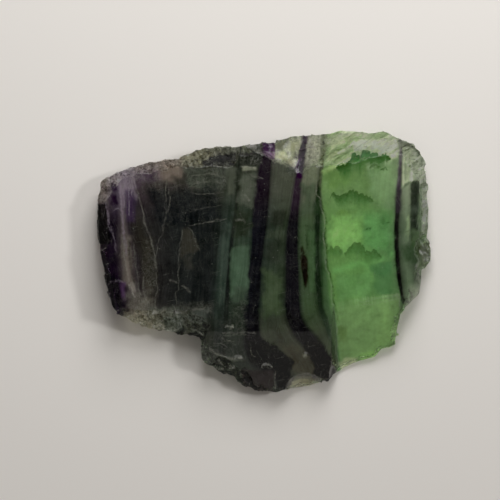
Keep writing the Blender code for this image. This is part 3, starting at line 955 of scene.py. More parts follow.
    def side(self, rim: Array, brow: Array) -> Array:
        """The broken side, from the brow down to the foot.

        Each row lies a further share of the way down, and its points stand out from the rim by chips and
        clouds that fade in below the brow, less a small inset there and one that grows below the widest
        height.

        Args:
            rim: the rim's points.
            brow: height of the upper side at each of them.

        Returns:
            An array of rows, points and coordinates, without the brow's own row.
        """
        share = (np.arange(1, self.wall_rows + 1) / self.wall_rows)[:, None]
        z = brow * (1.0 - share)
        run = np.linspace(0.0, 1.0, len(rim), endpoint=False) * 2.0 * math.pi
        wrap_x, wrap_y = np.broadcast_arrays(self.girth * np.cos(run), self.girth * np.sin(run) + 1.3 * z)
        relief = chips(wrap_x, wrap_y, self.wall_chip, tilt=0.3, seed=51)
        relief += chips(wrap_x, wrap_y, self.splinter, tilt=0.35, seed=52)
        relief += 0.12 * cloud(wrap_x, wrap_y, 0.7, 53)
        inset = self.foot_inset * np.clip(1.0 - z / self.widest_at, 0.0, 1.0)
        below = brow - z
        stand = relief * smooth_step(0.0, 0.9, below) * 0.8 - inset - 0.12 * smooth_step(0.0, 1.5, below)
        normal = self.outward(rim)
        x = rim[:, 0] + normal[:, 0] * stand
        y = rim[:, 1] + normal[:, 1] * stand
        return np.stack([x, y, z], axis=2)

    def build(self, low: Array, high: Array) -> bpy.types.Object:
        """Make the closed mesh, fitted to the frame's box, with its named values for the material.

        Args:
            low: lowest corner of the box that the stone fills.
            high: its highest corner.

        Returns:
            The finished object.
        """
        rim = self.rim()
        x, y = self.ringed_grid(rim, self.cells, self.pull)
        z, rough = self.crown(x, y)
        crown = np.stack([x.ravel(), y.ravel(), z.ravel()], axis=1)
        edge = self.border(self.cells)
        side = self.side(crown[edge, :2], crown[edge, 2])
        foot = side[-1]
        half = self.cells // 2
        floor_x, floor_y = self.ringed_grid(self.inner_foot(foot[::2, :2]), half, 1.0)
        floor = np.stack([floor_x.ravel(), floor_y.ravel(), np.zeros(floor_x.size)], axis=1)
        points = np.concatenate((crown, side.reshape(-1, 3), floor))
        faces, sawn = self.faces(edge, len(crown), len(crown) + side.shape[0] * len(edge), half)
        base = np.concatenate((crown[:, :2], np.tile(crown[edge, :2], (side.shape[0], 1)), floor[:, :2]))
        zone, across = growth(base[:, 0], base[:, 1])
        skin = np.full(side.shape[0] * len(edge), self.wall_rough)
        cast, veined = self.cast(base[:, 0], base[:, 1])
        attributes = {
            "plan": points,
            "growth": zone,
            "across": across,
            "cast": cast,
            "veined": veined,
            "rough": np.concatenate((rough.ravel(), skin, np.zeros(len(floor)))),
        }
        points = self.fitted(points, low, high)
        return self.mesh_object(points, faces, attributes, sawn)

    @staticmethod
    def cast(x: Array, y: Array) -> tuple[Array, Array]:
        """Lay the patches over one another: colour already times its cover, and the whole cover as alpha.

        Args:
            x: places across.
            y: places along.

        Returns:
            Red, green, blue and alpha at each place, and how thickly veins run there.
        """
        sheet = np.zeros((len(x), 5))
        sheet[:, 4] = PLAIN_VEINS
        for patch in PATCHES.values():
            cover = patch.cover(x, y)[:, None]
            sheet = sheet * (1.0 - cover) + np.array([*linear(patch.colour), patch.veins]) * cover
        return sheet[:, :4], sheet[:, 4]

    def inner_foot(self, foot: Array) -> Array:
        """The foot's ring drawn in by the sill towards its middle, for the sawn face's own border.

        Args:
            foot: the ring's points.

        Returns:
            The smaller ring.
        """
        middle = foot.mean(axis=0)
        arm = foot - middle
        length = np.hypot(arm[:, 0], arm[:, 1])[:, None]
        return middle + arm * (1.0 - self.sill / length)

    def faces(self, edge: Array, wall_start: int, floor_start: int, half: int) -> tuple[list[Array], Array]:
        """Faces of the upper grid, the side, the strip round the foot, and the sawn grid under the slab.

        Args:
            edge: the upper grid's border indexes.
            wall_start: index of the side's first point.
            floor_start: index of the sawn grid's first point.
            half: cells along the sawn grid's side.

        Returns:
            Arrays of faces by kind, and for each face whether it is sawn.
        """
        count = len(edge)
        rows = np.concatenate((edge[None], wall_start + np.arange(self.wall_rows * count).reshape(-1, count)))
        after = np.roll(rows, -1, axis=1)
        wall = np.stack([rows[:-1], after[:-1], after[1:], rows[1:]], axis=2).reshape(-1, 4)
        foot = rows[-1]
        inner = floor_start + self.border(half)
        inner_after = np.roll(inner, -1)
        strip = np.concatenate(
            (
                np.stack([inner, foot[0::2], foot[1::2]], axis=1),
                np.stack([inner, foot[1::2], inner_after], axis=1),
                np.stack([inner_after, foot[1::2], np.roll(foot[0::2], -1)], axis=1),
            )
        )
        upper = self.grid_faces(self.cells, 0, upward=True)
        floor = self.grid_faces(half, floor_start, upward=False)
        kinds = [upper, wall, strip, floor]
        sawn = np.concatenate([np.full(len(kind), float(index >= 2)) for index, kind in enumerate(kinds)])
        return kinds, sawn

    @staticmethod
    def fitted(points: Array, low: Array, high: Array) -> Array:
        """Stretch the points by the percent or so that makes their box the frame's box, in metres."""
        least, most = points.min(axis=0), points.max(axis=0)
        return low + (points - least) * ((high - low) / (most - least))

    def mesh_object(
        self, points: Array, kinds: list[Array], attributes: dict[str, Array], sawn: Array
    ) -> bpy.types.Object:
        """Fill a mesh from arrays of points and faces and give it its attributes.

        Args:
            points: the points, in metres.
            kinds: arrays of faces, each with one number of corners.
            attributes: named values, one for each point.
            sawn: for each face, 1 where it is sawn.

        Returns:
            An object that holds the mesh, shaded smooth with sharp edges where the stone turns sharply.
        """
        mesh = bpy.data.meshes.new("banded_fluorite")
        sizes = np.concatenate([np.full(len(kind), kind.shape[1]) for kind in kinds])
        corners = np.concatenate([kind.ravel() for kind in kinds]).astype(np.int32)
        starts = np.concatenate(([0], np.cumsum(sizes)[:-1])).astype(np.int32)
        mesh.vertices.add(len(points))
        mesh.vertices.foreach_set("co", points.astype(np.float32).ravel())
        mesh.loops.add(len(corners))
        mesh.loops.foreach_set("vertex_index", corners)
        mesh.polygons.add(len(sizes))
        mesh.polygons.foreach_set("loop_start", starts)
        mesh.update(calc_edges=True)
        kinds_of = {1: ("FLOAT", "value"), 3: ("FLOAT_VECTOR", "vector"), 4: ("FLOAT_COLOR", "color")}
        for name, values in attributes.items():
            kind, field = kinds_of[1 if values.ndim == 1 else values.shape[1]]
            layer = mesh.attributes.new(name, kind, "POINT")
            layer.data.foreach_set(field, values.astype(np.float32).ravel())
        layer = mesh.attributes.new("sawn", "FLOAT", "FACE")
        layer.data.foreach_set("value", sawn.astype(np.float32))
        mesh.validate()
        mesh.shade_smooth()
        mesh.set_sharp_from_angle(angle=math.radians(self.sharp_from))
        thing = bpy.data.objects.new("banded_fluorite", mesh)
        bpy.context.scene.collection.objects.link(thing)
        return thing


# ---------------------------------------------------------------------------------------------- finishes


def linear(colour: str) -> tuple[float, float, float, float]:
    """Turn an sRGB hex value into linear red, green, blue and alpha.

    Args:
        colour: six hex digits.

    Returns:
        The linear colour.
    """
    parts = [int(colour[start : start + 2], 16) / 255.0 for start in (0, 2, 4)]
    red, green, blue = (p / 12.92 if p <= 0.04045 else ((p + 0.055) / 1.055) ** 2.4 for p in parts)
    return red, green, blue, 1.0


def add(tree: Tree, kind: str, links: Links = (), **settings: Any) -> bpy.types.NodeOutputs:
    """Add a node with its settings, and link or set its inputs.

    Args:
        tree: the node tree.
        kind: the node's type, as in Math for ShaderNodeMath.
        links: its inputs, each a socket to link or a value to set, from the first one on or by name or index.
        settings: its properties; "stops" fills a colour ramp, "points" bends a smooth curve and "corners" a
            broken one.

    Returns:
        The node's outputs.
    """
    node = tree.nodes.new(f"ShaderNode{kind}")
    for name, value in settings.items():
        if name == "stops":
            ramp = node.color_ramp.elements
            while len(ramp) < len(value):
                ramp.new(1.0)
            for stop, (place, colour) in zip(ramp, sorted(value)):
                stop.position = place
                stop.color = linear(colour)
        elif name in ("points", "corners"):
            curve = node.mapping.curves[0].points
            while len(curve) < len(value):
                curve.new(1.0, 1.0)
            for knot, location in zip(curve, sorted(value)):
                knot.location = location
                knot.handle_type = "VECTOR" if name == "corners" else "AUTO_CLAMPED"
            node.mapping.update()
        else:
            setattr(node, name, value)
    for name, value in links.items() if isinstance(links, dict) else enumerate(links):
        if isinstance(value, Socket):
            tree.links.new(value, node.inputs[name])
        else:
            node.inputs[name].default_value = value
    return node.outputs


@dataclass(frozen=True)
class Zone:
    """The colours that one growth zone shows over white.

    Attributes:
        high: near the upper rim.
        mid: across the middle.
        low: near the lower rim.
    """

    high: str
    mid: str
    low: str


# The zones' colours, each at its share of the way across the zone
ZONE_COLOURS = {
    "outer end": [(0.15, Zone("534E49", "0C080D", "120E14")), (0.85, Zone("362D3B", "18131B", "1E1622"))],
    "pale column": [(0.5, Zone("6B606E", "5B5351", "5E5B50"))],
    "violet column": [(0.5, Zone("3B3240", "262226", "504C45"))],
    "olive column": [(0.5, Zone("29242B", "25231F", "4E4A43"))],
    "dark body": [
        (0.04, Zone("2C2529", "232222", "3E3E36")), (0.35, Zone("2E2C29", "1C1E1E", "30322C")),
        (0.84, Zone("2E302A", "1A1C1C", "22251F")), (0.93, Zone("30352D", "37443B", "262927"))
    ],
    "thread": [(0.2, Zone("1E201C", "191B1A", "1B1C1A")), (0.8, Zone("1E201C", "191B1A", "1B1C1A"))],
    "first window": [(0.1, Zone("23271F", "283228", "292E28")), (0.88, Zone("2B2F28", "2D392E", "282C27"))],
    "wide band": [(0.1, Zone("1D171E", "151519", "131215")), (0.9, Zone("1B171B", "141417", "131215"))],
    "second window": [(0.07, Zone("41453B", "29322A", "373B30")), (0.9, Zone("3E4237", "2C3628", "373A2F"))],
    "violet band": [(0.12, Zone("2A1F2B", "161518", "131214")), (0.85, Zone("281E28", "151417", "131214"))],
    "third window": [(0.2, Zone("575B4B", "3A4C33", "363D2E")), (0.8, Zone("525648", "34442E", "363D2E"))],
    "fine band": [(0.2, Zone("1E241C", "182017", "263025")), (0.8, Zone("20271E", "1A2219", "263025"))],
    "fourth window": [(0.5, Zone("4C5A3E", "3C5536", "40523A"))],
    "green field": [
        (0.03, Zone("5B784A", "5C8448", "466840")), (0.60, Zone("5B7848", "5F8C4E", "647F4D")),
        (0.97, Zone("667C59", "4A6A42", "5F7A48"))
    ],
    "rim band": [(0.2, Zone("262725", "100F0F", "2C3829")), (0.8, Zone("262725", "141313", "2C3829"))],
    "fifth window": [(0.5, Zone("7C8870", "586951", "4D5A46"))],
    "shade band": [(0.5, Zone("444B3C", "1B1F1B", "414C3A"))],
    "right skin": [(0.5, Zone("78816E", "727D6A", "535B47"))],
}

# Broken rim by growth zone: the colour it shows high and low along the bands
SKIN_COLOURS = [
    (0.0, "5A524C", "0E0A0F"), (1.2, "BDB1B1", "3A342F"), (3.6, "A2969A", "817B69"),
    (4.2, "9C9188", "6C6A5C"), (4.6, "6E6C59", "4A4C43"), (4.92, "66675A", "393B36"),
    (5.5, "22241F", "232522"), (6.2, "6B6E5C", "33352F"), (6.9, "565848", "2B2C28"),
    (7.5, "2F2033", "141315"), (8.2, "9A9E82", "2E2E27"), (8.9, "8F927A", "2A2823"),
    (9.5, "463050", "131013"), (10.3, "96987F", "3C4A35"), (10.9, "8A8C78", "3C4A35"),
    (11.5, "5C5E52", "2E3A2A"), (12.5, "8C967A", "5A6A4A"), (13.1, "96A97B", "7C8A68"),
    (13.5, "B7C49C", "7D9A62"), (13.9, "A6B28F", "74905C"), (14.5, "4E4A50", "4E5A48"),
    (15.5, "9CA48C", "6E7A60"), (16.5, "8A9280", "6C7660"), (17.5, "99A38B", "7E886F")
]


class Mark(Enum):
    """What a thin flaw shows, as the colour it adds."""

    PALE = "8B8B7E"
    WHITE = "D9DACB"
    LILAC = "8C8190"
    DARK = "10140E"


@dataclass(frozen=True)
class Flaw:
    """A thin crack, cleavage trace or scratch, or a painted glint.

    Attributes:
        points: the places that it runs through.
        width: how wide it shows.
        strength: how far it covers.
        upright: whether it runs along the bands and not across them.
    """

    points: list[Point]
    width: float = 0.3
    strength: float = 0.8
    upright: bool = True


# The flaws, by what they show
FLAWS = {
    Mark.PALE: {
        "outer crack": Flaw(
            [(-35.6, 23.2), (-35.0, 21.0), (-34.2, 18.4), (-33.0, 14.3), (-31.9, 9.4), (-30.7, 6.1),
            (-29.7, 2.1), (-29.2, -1.2), (-28.9, -2.6)], 0.26, 0.6
        ),
        "outer crack foot": Flaw(
            [(-28.9, -2.6), (-29.2, -4.5), (-28.7, -8.0), (-29.5, -9.6), (-29.2, -13.7)], 0.25, 0.35
        ),
        "inner crack": Flaw(
            [(-26.3, 22.8), (-26.6, 17.8), (-26.6, 13.7), (-26.9, 10.2), (-27.3, 7.6), (-28.4, 5.5),
            (-28.8, 2.9), (-29.2, 0.6)], 0.2, 0.4
        ),
        "inner twig": Flaw([(-25.7, 19.4), (-25.4, 16.1), (-26.2, 13.0)], 0.25, 0.45),
        "rising crack": Flaw(
            [(-20.7, 9.4), (-18.7, 9.9), (-16.4, 10.4), (-14.0, 10.8), (-11.7, 11.2), (-10.2, 11.4)], 0.17,
            0.6, False
        ),
        "faint rise": Flaw([(-20.4, 13.1), (-16.8, 14.0), (-15.1, 14.3), (-11.3, 14.9)], 0.2, 0.25, False),
        "flap side": Flaw(
            [(-22.2, 8.5), (-22.5, 5.0), (-23.0, 1.5), (-23.1, -3.5), (-23.0, -7.3), (-23.8, -8.8),
            (-23.8, -11.7)], 0.18, 0.4
        ),
        "flap edge": Flaw([(-20.7, 9.0), (-19.6, 8.2), (-18.5, 5.0), (-17.4, 2.9)], 0.28, 0.45),
        "scratch": Flaw([(-22.0, -6.6), (-20.1, -8.7)], 0.5, 0.7),
        "short scratch": Flaw([(-25.8, -5.3), (-23.4, -5.8)], 0.5, 0.4, False),
        "column light": Flaw(
            [(-37.8, 6.8), (-37.9, 3.0), (-37.2, -1.0), (-36.7, -5.0), (-36.2, -8.0)], 0.3, 0.8
        ),
        "column edge": Flaw([(-35.2, 5.0), (-34.6, 0.0), (-34.0, -5.0), (-33.4, -9.5)], 0.3, 0.4),
        "foot thread": Flaw([(-32.6, -4.0), (-32.3, -8.0), (-31.6, -12.0)], 0.35, 0.45),
        "shelf trace": Flaw([(-19.8, 22.8), (-15.0, 23.2), (-10.6, 22.6)], 0.3, 0.4, False),
        "second shelf trace": Flaw([(-19.0, 20.8), (-14.5, 21.4), (-10.4, 20.4)], 0.3, 0.35, False),
        "polish edge": Flaw([(-22.3, 25.4), (-16.0, 25.5), (-9.9, 25.2)], 0.3, 0.6, False),
        "shelf foot": Flaw([(-20.0, 18.6), (-16.7, 18.0), (-10.8, 18.5)], 0.25, 0.3, False),
        "window tick": Flaw([(-5.6, 18.2), (-3.9, 16.0)], 0.7, 0.6),
        "window dash": Flaw([(-7.8, 10.6), (-6.6, 10.9), (-5.0, 10.2)], 0.45, 0.6, False),
        "window stroke": Flaw([(-3.8, 23.2), (-0.3, 22.2)], 0.25, 0.6, False),
        "ridge": Flaw(
            [(-24.6, -12.4), (-22.8, -13.7), (-20.7, -13.6), (-19.0, -13.0), (-16.0, -12.8)], 0.4, 0.5, False
        ),
        "lobe trace": Flaw([(-11.4, -19.7), (-5.2, -19.4), (-2.0, -19.3)], 0.3, 0.65, False),
        "knuckle chain": Flaw(
            [(-15.1, -23.1), (-13.8, -24.2), (-12.4, -25.2), (-11.3, -25.8), (-9.7, -26.2), (-8.4, -26.3),
            (-6.5, -26.1), (-5.7, -26.9)], 0.55, 0.95, False
        ),
        "foot mark": Flaw([(-34.8, -12.6), (-34.0, -13.9), (-33.8, -15.0)], 0.6, 0.8),
        "foot hook": Flaw([(-29.4, -15.2), (-28.6, -16.3), (-27.0, -15.8)], 0.5, 0.8, False),
        "terrace edge": Flaw([(-21.0, -17.9), (-18.6, -18.6), (-16.4, -20.0)], 0.45, 0.8, False),
        "wall tick": Flaw([(-9.4, -18.8), (-8.6, -16.9)], 0.4, 0.7),
        "lobe stroke": Flaw([(-12.0, -20.9), (-9.6, -21.2), (-7.8, -21.8)], 0.25, 0.6, False),
        "second lobe stroke": Flaw([(-14.0, -22.0), (-12.2, -22.4), (-10.0, -23.4)], 0.3, 0.6, False),
        "lobe fleck": Flaw([(-12.5, -26.6), (-11.3, -27.7), (-10.5, -28.6)], 0.6, 0.8),
        "third lobe fleck": Flaw([(-12.8, -28.9), (-11.9, -29.4), (-11.0, -29.2)], 0.5, 0.8, False),
        "lobe crack": Flaw([(-3.6, -23.2), (-3.2, -24.8), (-2.4, -25.6)], 0.3, 0.7),
        "lobe seam": Flaw([(2.8, -29.6), (2.8, -34.7)], 0.3, 0.6),
        "cleavage brow": Flaw([(24.6, -11.0), (30.6, -10.3), (36.3, -9.0)], 0.35, 0.6, False),
        "cleavage side": Flaw([(36.4, -9.0), (36.3, -14.2), (34.8, -22.8)], 0.3, 0.5),
        "step side": Flaw([(19.2, -16.5), (19.5, -20.0), (19.4, -25.5), (19.7, -30.0)], 0.4, 0.7),
        "jag light": Flaw(
            [(14.2, 21.0), (13.9, 19.0), (14.9, 16.7), (15.4, 13.7), (16.0, 11.9), (16.1, 5.5), (16.4, 1.2),
            (17.0, -3.3), (17.8, -6.0), (18.1, -11.7), (19.0, -14.4), (19.4, -16.5)], 0.3, 0.5
        ),
    },
    Mark.WHITE: {
        "column foot": Flaw([(-36.4, -6.4), (-35.6, -8.0), (-35.2, -10.0)], 0.35, 0.6),
        "blot line": Flaw([(-6.4, 25.2), (-2.3, 25.0)], 0.35, 0.5, False),
        "shell arc": Flaw(
            [(-27.5, -17.4), (-26.2, -18.5), (-24.6, -18.9), (-23.0, -18.1), (-22.4, -16.9)], 0.45, 0.7, False
        ),
        "foot squiggle": Flaw([(-30.2, -13.9), (-29.4, -13.7), (-28.4, -13.9)], 0.6, 0.9, False),
        "foot bow": Flaw([(-30.6, -17.2), (-29.2, -17.6), (-27.8, -17.3)], 0.5, 0.6, False),
        "terrace tick": Flaw(
            [(-24.3, -12.4), (-23.2, -14.0), (-22.0, -14.0), (-20.6, -13.2)], 0.4, 0.7, False
        ),
        "wall fleck": Flaw([(-10.5, -18.0), (-9.6, -17.6), (-8.5, -17.9)], 0.5, 0.6, False),
        "second lobe fleck": Flaw([(-9.8, -27.8), (-9.0, -28.2), (-8.2, -28.5)], 0.6, 0.8, False),
        "chain glint": Flaw([(-8.2, -26.1), (-7.0, -25.9), (-6.0, -26.2)], 0.7, 0.95, False),
        "rim glint": Flaw([(-9.8, -28.5), (-7.8, -28.3)], 0.6, 0.75, False),
        "lobe glint": Flaw([(-0.9, -28.4), (0.4, -28.1), (1.9, -28.5)], 0.45, 0.8, False),
        "lone glint": Flaw([(10.5, -25.1), (11.5, -25.0)], 0.65, 1.0, False),
    },
    Mark.LILAC: {
        "column line": Flaw(
            [(-38.9, 21.0), (-38.6, 17.8), (-38.4, 13.0), (-38.1, 9.4), (-37.6, 5.5), (-36.9, 1.0)], 0.45, 0.8
        ),
        "first fan": Flaw([(-36.6, 23.8), (-38.4, 21.8), (-39.4, 19.6)], 0.25, 0.8),
        "second fan": Flaw([(-36.5, 23.6), (-37.6, 20.6), (-38.2, 17.4)], 0.25, 0.9),
        "third fan": Flaw([(-36.0, 23.6), (-35.9, 20.4), (-35.6, 17.2)], 0.25, 0.8),
        "fourth fan": Flaw([(-35.8, 23.6), (-35.0, 21.4), (-34.6, 19.4)], 0.25, 0.8),
        "fibre": Flaw([(-37.2, 24.2), (-36.6, 20.0), (-36.4, 12.0)], 0.3, 0.95),
        "second fibre": Flaw([(-38.0, 24.0), (-37.8, 20.0), (-37.7, 14.0)], 0.25, 0.8),
        "facet edge": Flaw([(-42.5, 16.0), (-42.2, 13.5), (-41.9, 11.0), (-41.2, 8.0)], 0.35, 0.7),
        "corner shard": Flaw([(-40.6, 13.6), (-39.8, 14.2), (-38.8, 13.4)], 0.4, 0.5, False),
        "second shard": Flaw([(-41.2, 9.0), (-40.4, 5.5), (-39.8, 2.0)], 0.3, 0.5),
        "cross trace": Flaw([(-41.6, -5.6), (-37.8, -5.6)], 0.25, 0.5, False),
    },
    Mark.DARK: {
        "column dark": Flaw([(-36.5, 6.0), (-36.2, 2.0), (-35.6, -2.0), (-35.0, -6.5)], 0.5, 0.7),
        "lens edge": Flaw([(11.2, 9.8), (11.3, 6.0), (11.4, 3.0)], 0.35, 0.8),
        "jag": Flaw(
            [(14.7, 22.1), (14.3, 19.7), (15.3, 16.7), (15.8, 13.7), (16.4, 11.9), (16.5, 5.5), (16.7, 1.2),
            (17.0, -1.2), (17.4, -3.3), (18.2, -5.8), (18.3, -8.5), (18.7, -11.7), (19.5, -14.2),
            (19.8, -16.3)], 0.45, 0.8
        ),
        "green stroke": Flaw([(31.8, 9.8), (33.9, 10.5)], 0.4, 0.6, False),
        "green tick": Flaw([(27.2, 8.5), (28.6, 8.8)], 0.4, 0.65, False),
        "green dot": Flaw([(23.4, 8.0), (24.3, 8.1)], 0.4, 0.55, False),
        "shade head": Flaw([(37.6, 20.5), (38.6, 20.9), (39.8, 21.5)], 0.5, 0.6, False),
        "corner trace": Flaw([(36.3, -5.5), (36.7, -8.5), (38.3, -11.4)], 0.4, 0.7),
        "nub trace": Flaw([(41.5, 4.8), (41.7, 1.0), (41.9, -2.5)], 0.35, 0.4),
    },
}


@dataclass(frozen=True)
class Feather:
    """A dark green feathered clump of inclusions in the green field.

    Attributes:
        crest: its toothed upper edge, from left to right.
        reach: how far below the crest it fades out.
        strength: how far it covers the field's colour.
    """

    crest: list[Point]
    reach: float
    strength: float


FEATHERS = {
    "top feather": Feather(
        [(19.17, 24.98), (19.76, 25.79), (20.52, 25.73), (21.11, 26.16), (21.60, 25.84), (22.14, 26.51),
        (22.46, 26.65), (22.90, 27.24), (23.27, 27.95), (23.44, 28.86), (24.08, 29.38), (24.46, 29.30),
        (24.68, 28.70), (25.27, 28.92), (25.65, 27.78), (25.97, 28.86), (26.41, 29.78), (27.54, 29.97),
        (28.30, 29.62), (28.46, 28.86), (29.21, 29.35), (30.13, 29.30), (30.62, 28.49), (31.27, 28.59),
        (32.24, 28.76), (32.54, 29.46), (32.78, 28.59), (33.32, 28.16), (34.02, 27.41)], 6.6, 1.1
    ),
    "side leaf": Feather(
        [(28.08, 24.98), (28.76, 25.84), (29.43, 26.16), (30.24, 26.08), (30.92, 25.79), (31.43, 24.98)], 1.3,
        0.8
    ),
    "second leaf": Feather(
        [(30.92, 24.44), (31.46, 25.03), (32.13, 24.98), (32.45, 25.73), (32.72, 24.92), (33.21, 24.44)], 0.8,
        0.9
    ),
    "middle feather": Feather(
        [(17.55, 16.61), (18.09, 18.39), (18.63, 18.60), (19.44, 17.85), (20.20, 17.69), (20.79, 18.06),
        (21.33, 18.36), (22.11, 18.23), (22.57, 18.98), (23.03, 19.30), (23.49, 18.98), (23.87, 19.76),
        (24.19, 18.77), (24.71, 18.93), (25.06, 18.60), (25.33, 17.90), (25.84, 18.60), (26.51, 18.39),
        (26.84, 17.63), (27.41, 18.06), (27.86, 17.42), (28.51, 17.31), (29.00, 16.82), (29.43, 16.07)], 4.8,
        0.9
    ),
    "low feather": Feather(
        [(21.30, 2.10), (22.00, 2.80), (22.70, 3.60), (23.27, 4.25), (23.62, 4.86), (24.71, 5.21),
        (25.87, 4.89), (25.97, 4.29), (26.57, 4.24), (26.89, 3.75), (27.05, 2.78), (28.08, 2.83),
        (28.67, 2.57), (29.21, 3.19), (30.02, 3.05), (30.59, 2.19), (31.32, 1.65), (31.59, 1.08)], 5.4, 0.75
    ),
    "low clump": Feather(
        [(16.60, 2.50), (17.20, 3.20), (17.93, 4.13), (18.47, 3.48), (19.06, 4.08), (19.87, 4.13),
        (20.40, 3.30), (21.10, 2.50)], 4.2, 0.65
    ),
}


@dataclass(frozen=True)
class Fluorite:
    """Banded fluorite, calcium fluoride: glassy where it was ground and polished, frosted where it broke.

    The eye sees through the polished face to what lies below, in green and grey windows between dark
    violet bands, and a broken rim that scatters the light.

    Attributes:
        index: fluorite's refractive index.
        clearness: share of the light that passes into the stone instead of being scattered near its surface.
        polish: roughness of the polished face.
        cloth: roughness of a fresh break.
        gloss: light that the polished face mirrors from a dim room.
        haze: light that a broken face mirrors besides.
        veil: light that the scattering share sends back, for a white base colour.
        glow: light that comes back through the stone from a pale ground, for a white base colour.
        absorbed: colour that white light takes on inside the stone.
        density: how fast it does, per metre.
        saw: roughness that the saw's marks add under the slab.
        pit: depth of the pits of a fresh break.
        dust: colour of the specks and scuffs.
        vein: colour of the pale veins.
        crest: colour of a feather along its crest.
        leaf: its colour further down.
        drawn: counts of growth zones between which the facets become drawn out.
        plain: counts of growth zones between which the fibres fade.
    """

    index: float = 1.434
    clearness: float = 0.87
    polish: float = 0.06
    cloth: float = 0.75
    gloss: float = 0.005
    haze: float = 0.028
    veil: float = 0.115
    glow: float = 0.32
    absorbed: str = "D8F2DC"
    density: float = 4.0
    saw: float = 0.25
    pit: float = 0.6
    dust: str = "7C7F74"
    vein: str = "9FA193"
    crest: str = "243E1A"
    leaf: str = "33562A"
    drawn: Point = (12.4, 13.0)
    plain: Point = (12.1, 12.6)

    @staticmethod
    def zones(tree: Tree, zone: Socket, level: str) -> Socket:
        """Colours across the growth zones at one level along the bands.

        Args:
            tree: the node tree.
            zone: the growth coordinate, from 0 to 1.
            level: high, mid or low.

        Returns:
            The colour.
        """
        stops = []
        for index, name in enumerate(list(GROWTH_EDGES)[:-1]):
            for place, colours in ZONE_COLOURS[name]:
                stops.append(((index + place) / ZONES, getattr(colours, level)))
        return add(tree, "ValToRGB", {"Fac": zone}, stops=stops)["Color"]

    @staticmethod
    def traced(tree: Tree, places: list[Point], knots: str, run: Socket) -> tuple[Socket, Socket]:
        """Follow a line through places with a curve node.

        Args:
            tree: the node tree.
            places: the places in turn, each as its run and its height.
            knots: "points" for a smooth line and "corners" for a broken one.
            run: how far each place of the stone lies along the line's axis.

        Returns:
            How far along the line each place is, from 0 to 1, and the line's height there.
        """
        runs, heights = zip(*places)
        least = min(heights)
        rise = max(max(heights) - least, 0.1)
        line = [((at - runs[0]) / (runs[-1] - runs[0]), (height - least) / rise) for at, height in places]
        share = add(tree, "MapRange", (run, runs[0], runs[-1]), clamp=False)[0]
        bend = add(tree, "FloatCurve", {1: share}, **{knots: line})[0]
        return share, add(tree, "Math", (bend, rise, least), operation="MULTIPLY_ADD")[0]

    def flaw(self, tree: Tree, flaw: Flaw, x: Socket, y: Socket) -> Socket:
        """How far a flaw covers each place: full on its line, none half its width away or past its ends.

        Args:
            tree: the node tree.
            flaw: the flaw.
            x: places across.
            y: places along.

        Returns:
            The cover.
        """
        run, drift = (y, x) if flaw.upright else (x, y)
        places = sorted((point[1], point[0]) if flaw.upright else point for point in flaw.points)
        share, centre = self.traced(tree, places, "points", run)
        gap = add(tree, "Math", (drift, centre), operation="SUBTRACT")
        gap = add(tree, "Math", (gap[0],), operation="ABSOLUTE")
        cover = add(tree, "MapRange", (gap[0], 0.25 * flaw.width, 0.85 * flaw.width, flaw.strength, 0.0))
        past = add(tree, "Math", (share, 0.5), operation="SUBTRACT")
        past = add(tree, "Math", (past[0],), operation="ABSOLUTE")
        ends = add(tree, "MapRange", (past[0], 0.47, 0.5, 1.0, 0.0))
        return add(tree, "Math", (cover[0], ends[0]), operation="MULTIPLY")[0]

    def flawed(self, tree: Tree, colour: Socket, plan: Socket) -> Socket:
        """Lay the flaws over a colour, one mark after another, broken up along their length.

        Args:
            tree: the node tree.
            colour: the colour below.
            plan: places in millimetres.

        Returns:
            The colour with its flaws.
        """
        bent = self.wavered(tree, self.wavered(tree, plan, 0.35, 0.9), 2.2, 0.28)
        axes = add(tree, "SeparateXYZ", (bent,))
        grain = add(tree, "TexNoise", {"Vector": plan, "Scale": 1.1, "Detail": 4.0})["Fac"]
        dashes = add(tree, "MapRange", (grain, 0.36, 0.6, 0.08, 1.0))[0]
        for mark, flaws in FLAWS.items():
            cover = None
            for flaw in flaws.values():
                one = self.flaw(tree, flaw, axes["X"], axes["Y"])
                if cover is not None:
                    one = add(tree, "Math", (cover, one), operation="MAXIMUM")[0]
                cover = one
            broken = add(tree, "Math", (cover, dashes), operation="MULTIPLY")[0]
            colour = add(tree, "Mix", {0: broken, 6: colour, 7: linear(mark.value)}, data_type="RGBA")[2]
        return colour

    @staticmethod
    def wavered(tree: Tree, plan: Socket, scale: float, sway: float) -> Socket:
        """Places moved about by a soft noise, so that what is drawn on them wavers.

        Args:
            tree: the node tree.
            plan: places in millimetres.
            scale: waves in a millimetre.
            sway: how far the places move, in millimetres.

        Returns:
            The moved places.
        """
        noise = add(tree, "TexNoise", {"Vector": plan, "Scale": scale, "Detail": 2.0})["Color"]
        centred = add(tree, "VectorMath", (noise, (0.5,) * 3), operation="SUBTRACT")[0]
        return add(tree, "VectorMath", (centred, (2.0 * sway,) * 3, plan), operation="MULTIPLY_ADD")[0]

    @staticmethod
    def skin(tree: Tree, zone: Socket, height: Socket) -> Socket:
        """Colour of the broken rim, by growth zone.

        Args:
            tree: the node tree.
            zone: the growth coordinate, from 0 to 1.
            height: places along the bands.

        Returns:
            The colour.
        """
        high = [(place / ZONES, colour) for place, colour, _ in SKIN_COLOURS]
        low = [(place / ZONES, colour) for place, _, colour in SKIN_COLOURS]
        high = add(tree, "ValToRGB", {"Fac": zone}, stops=high)["Color"]
        low = add(tree, "ValToRGB", {"Fac": zone}, stops=low)["Color"]
        side = add(tree, "MapRange", (height, -4.0, 14.0))[0]
        return add(tree, "Mix", {0: side, 6: low, 7: high}, data_type="RGBA")[2]

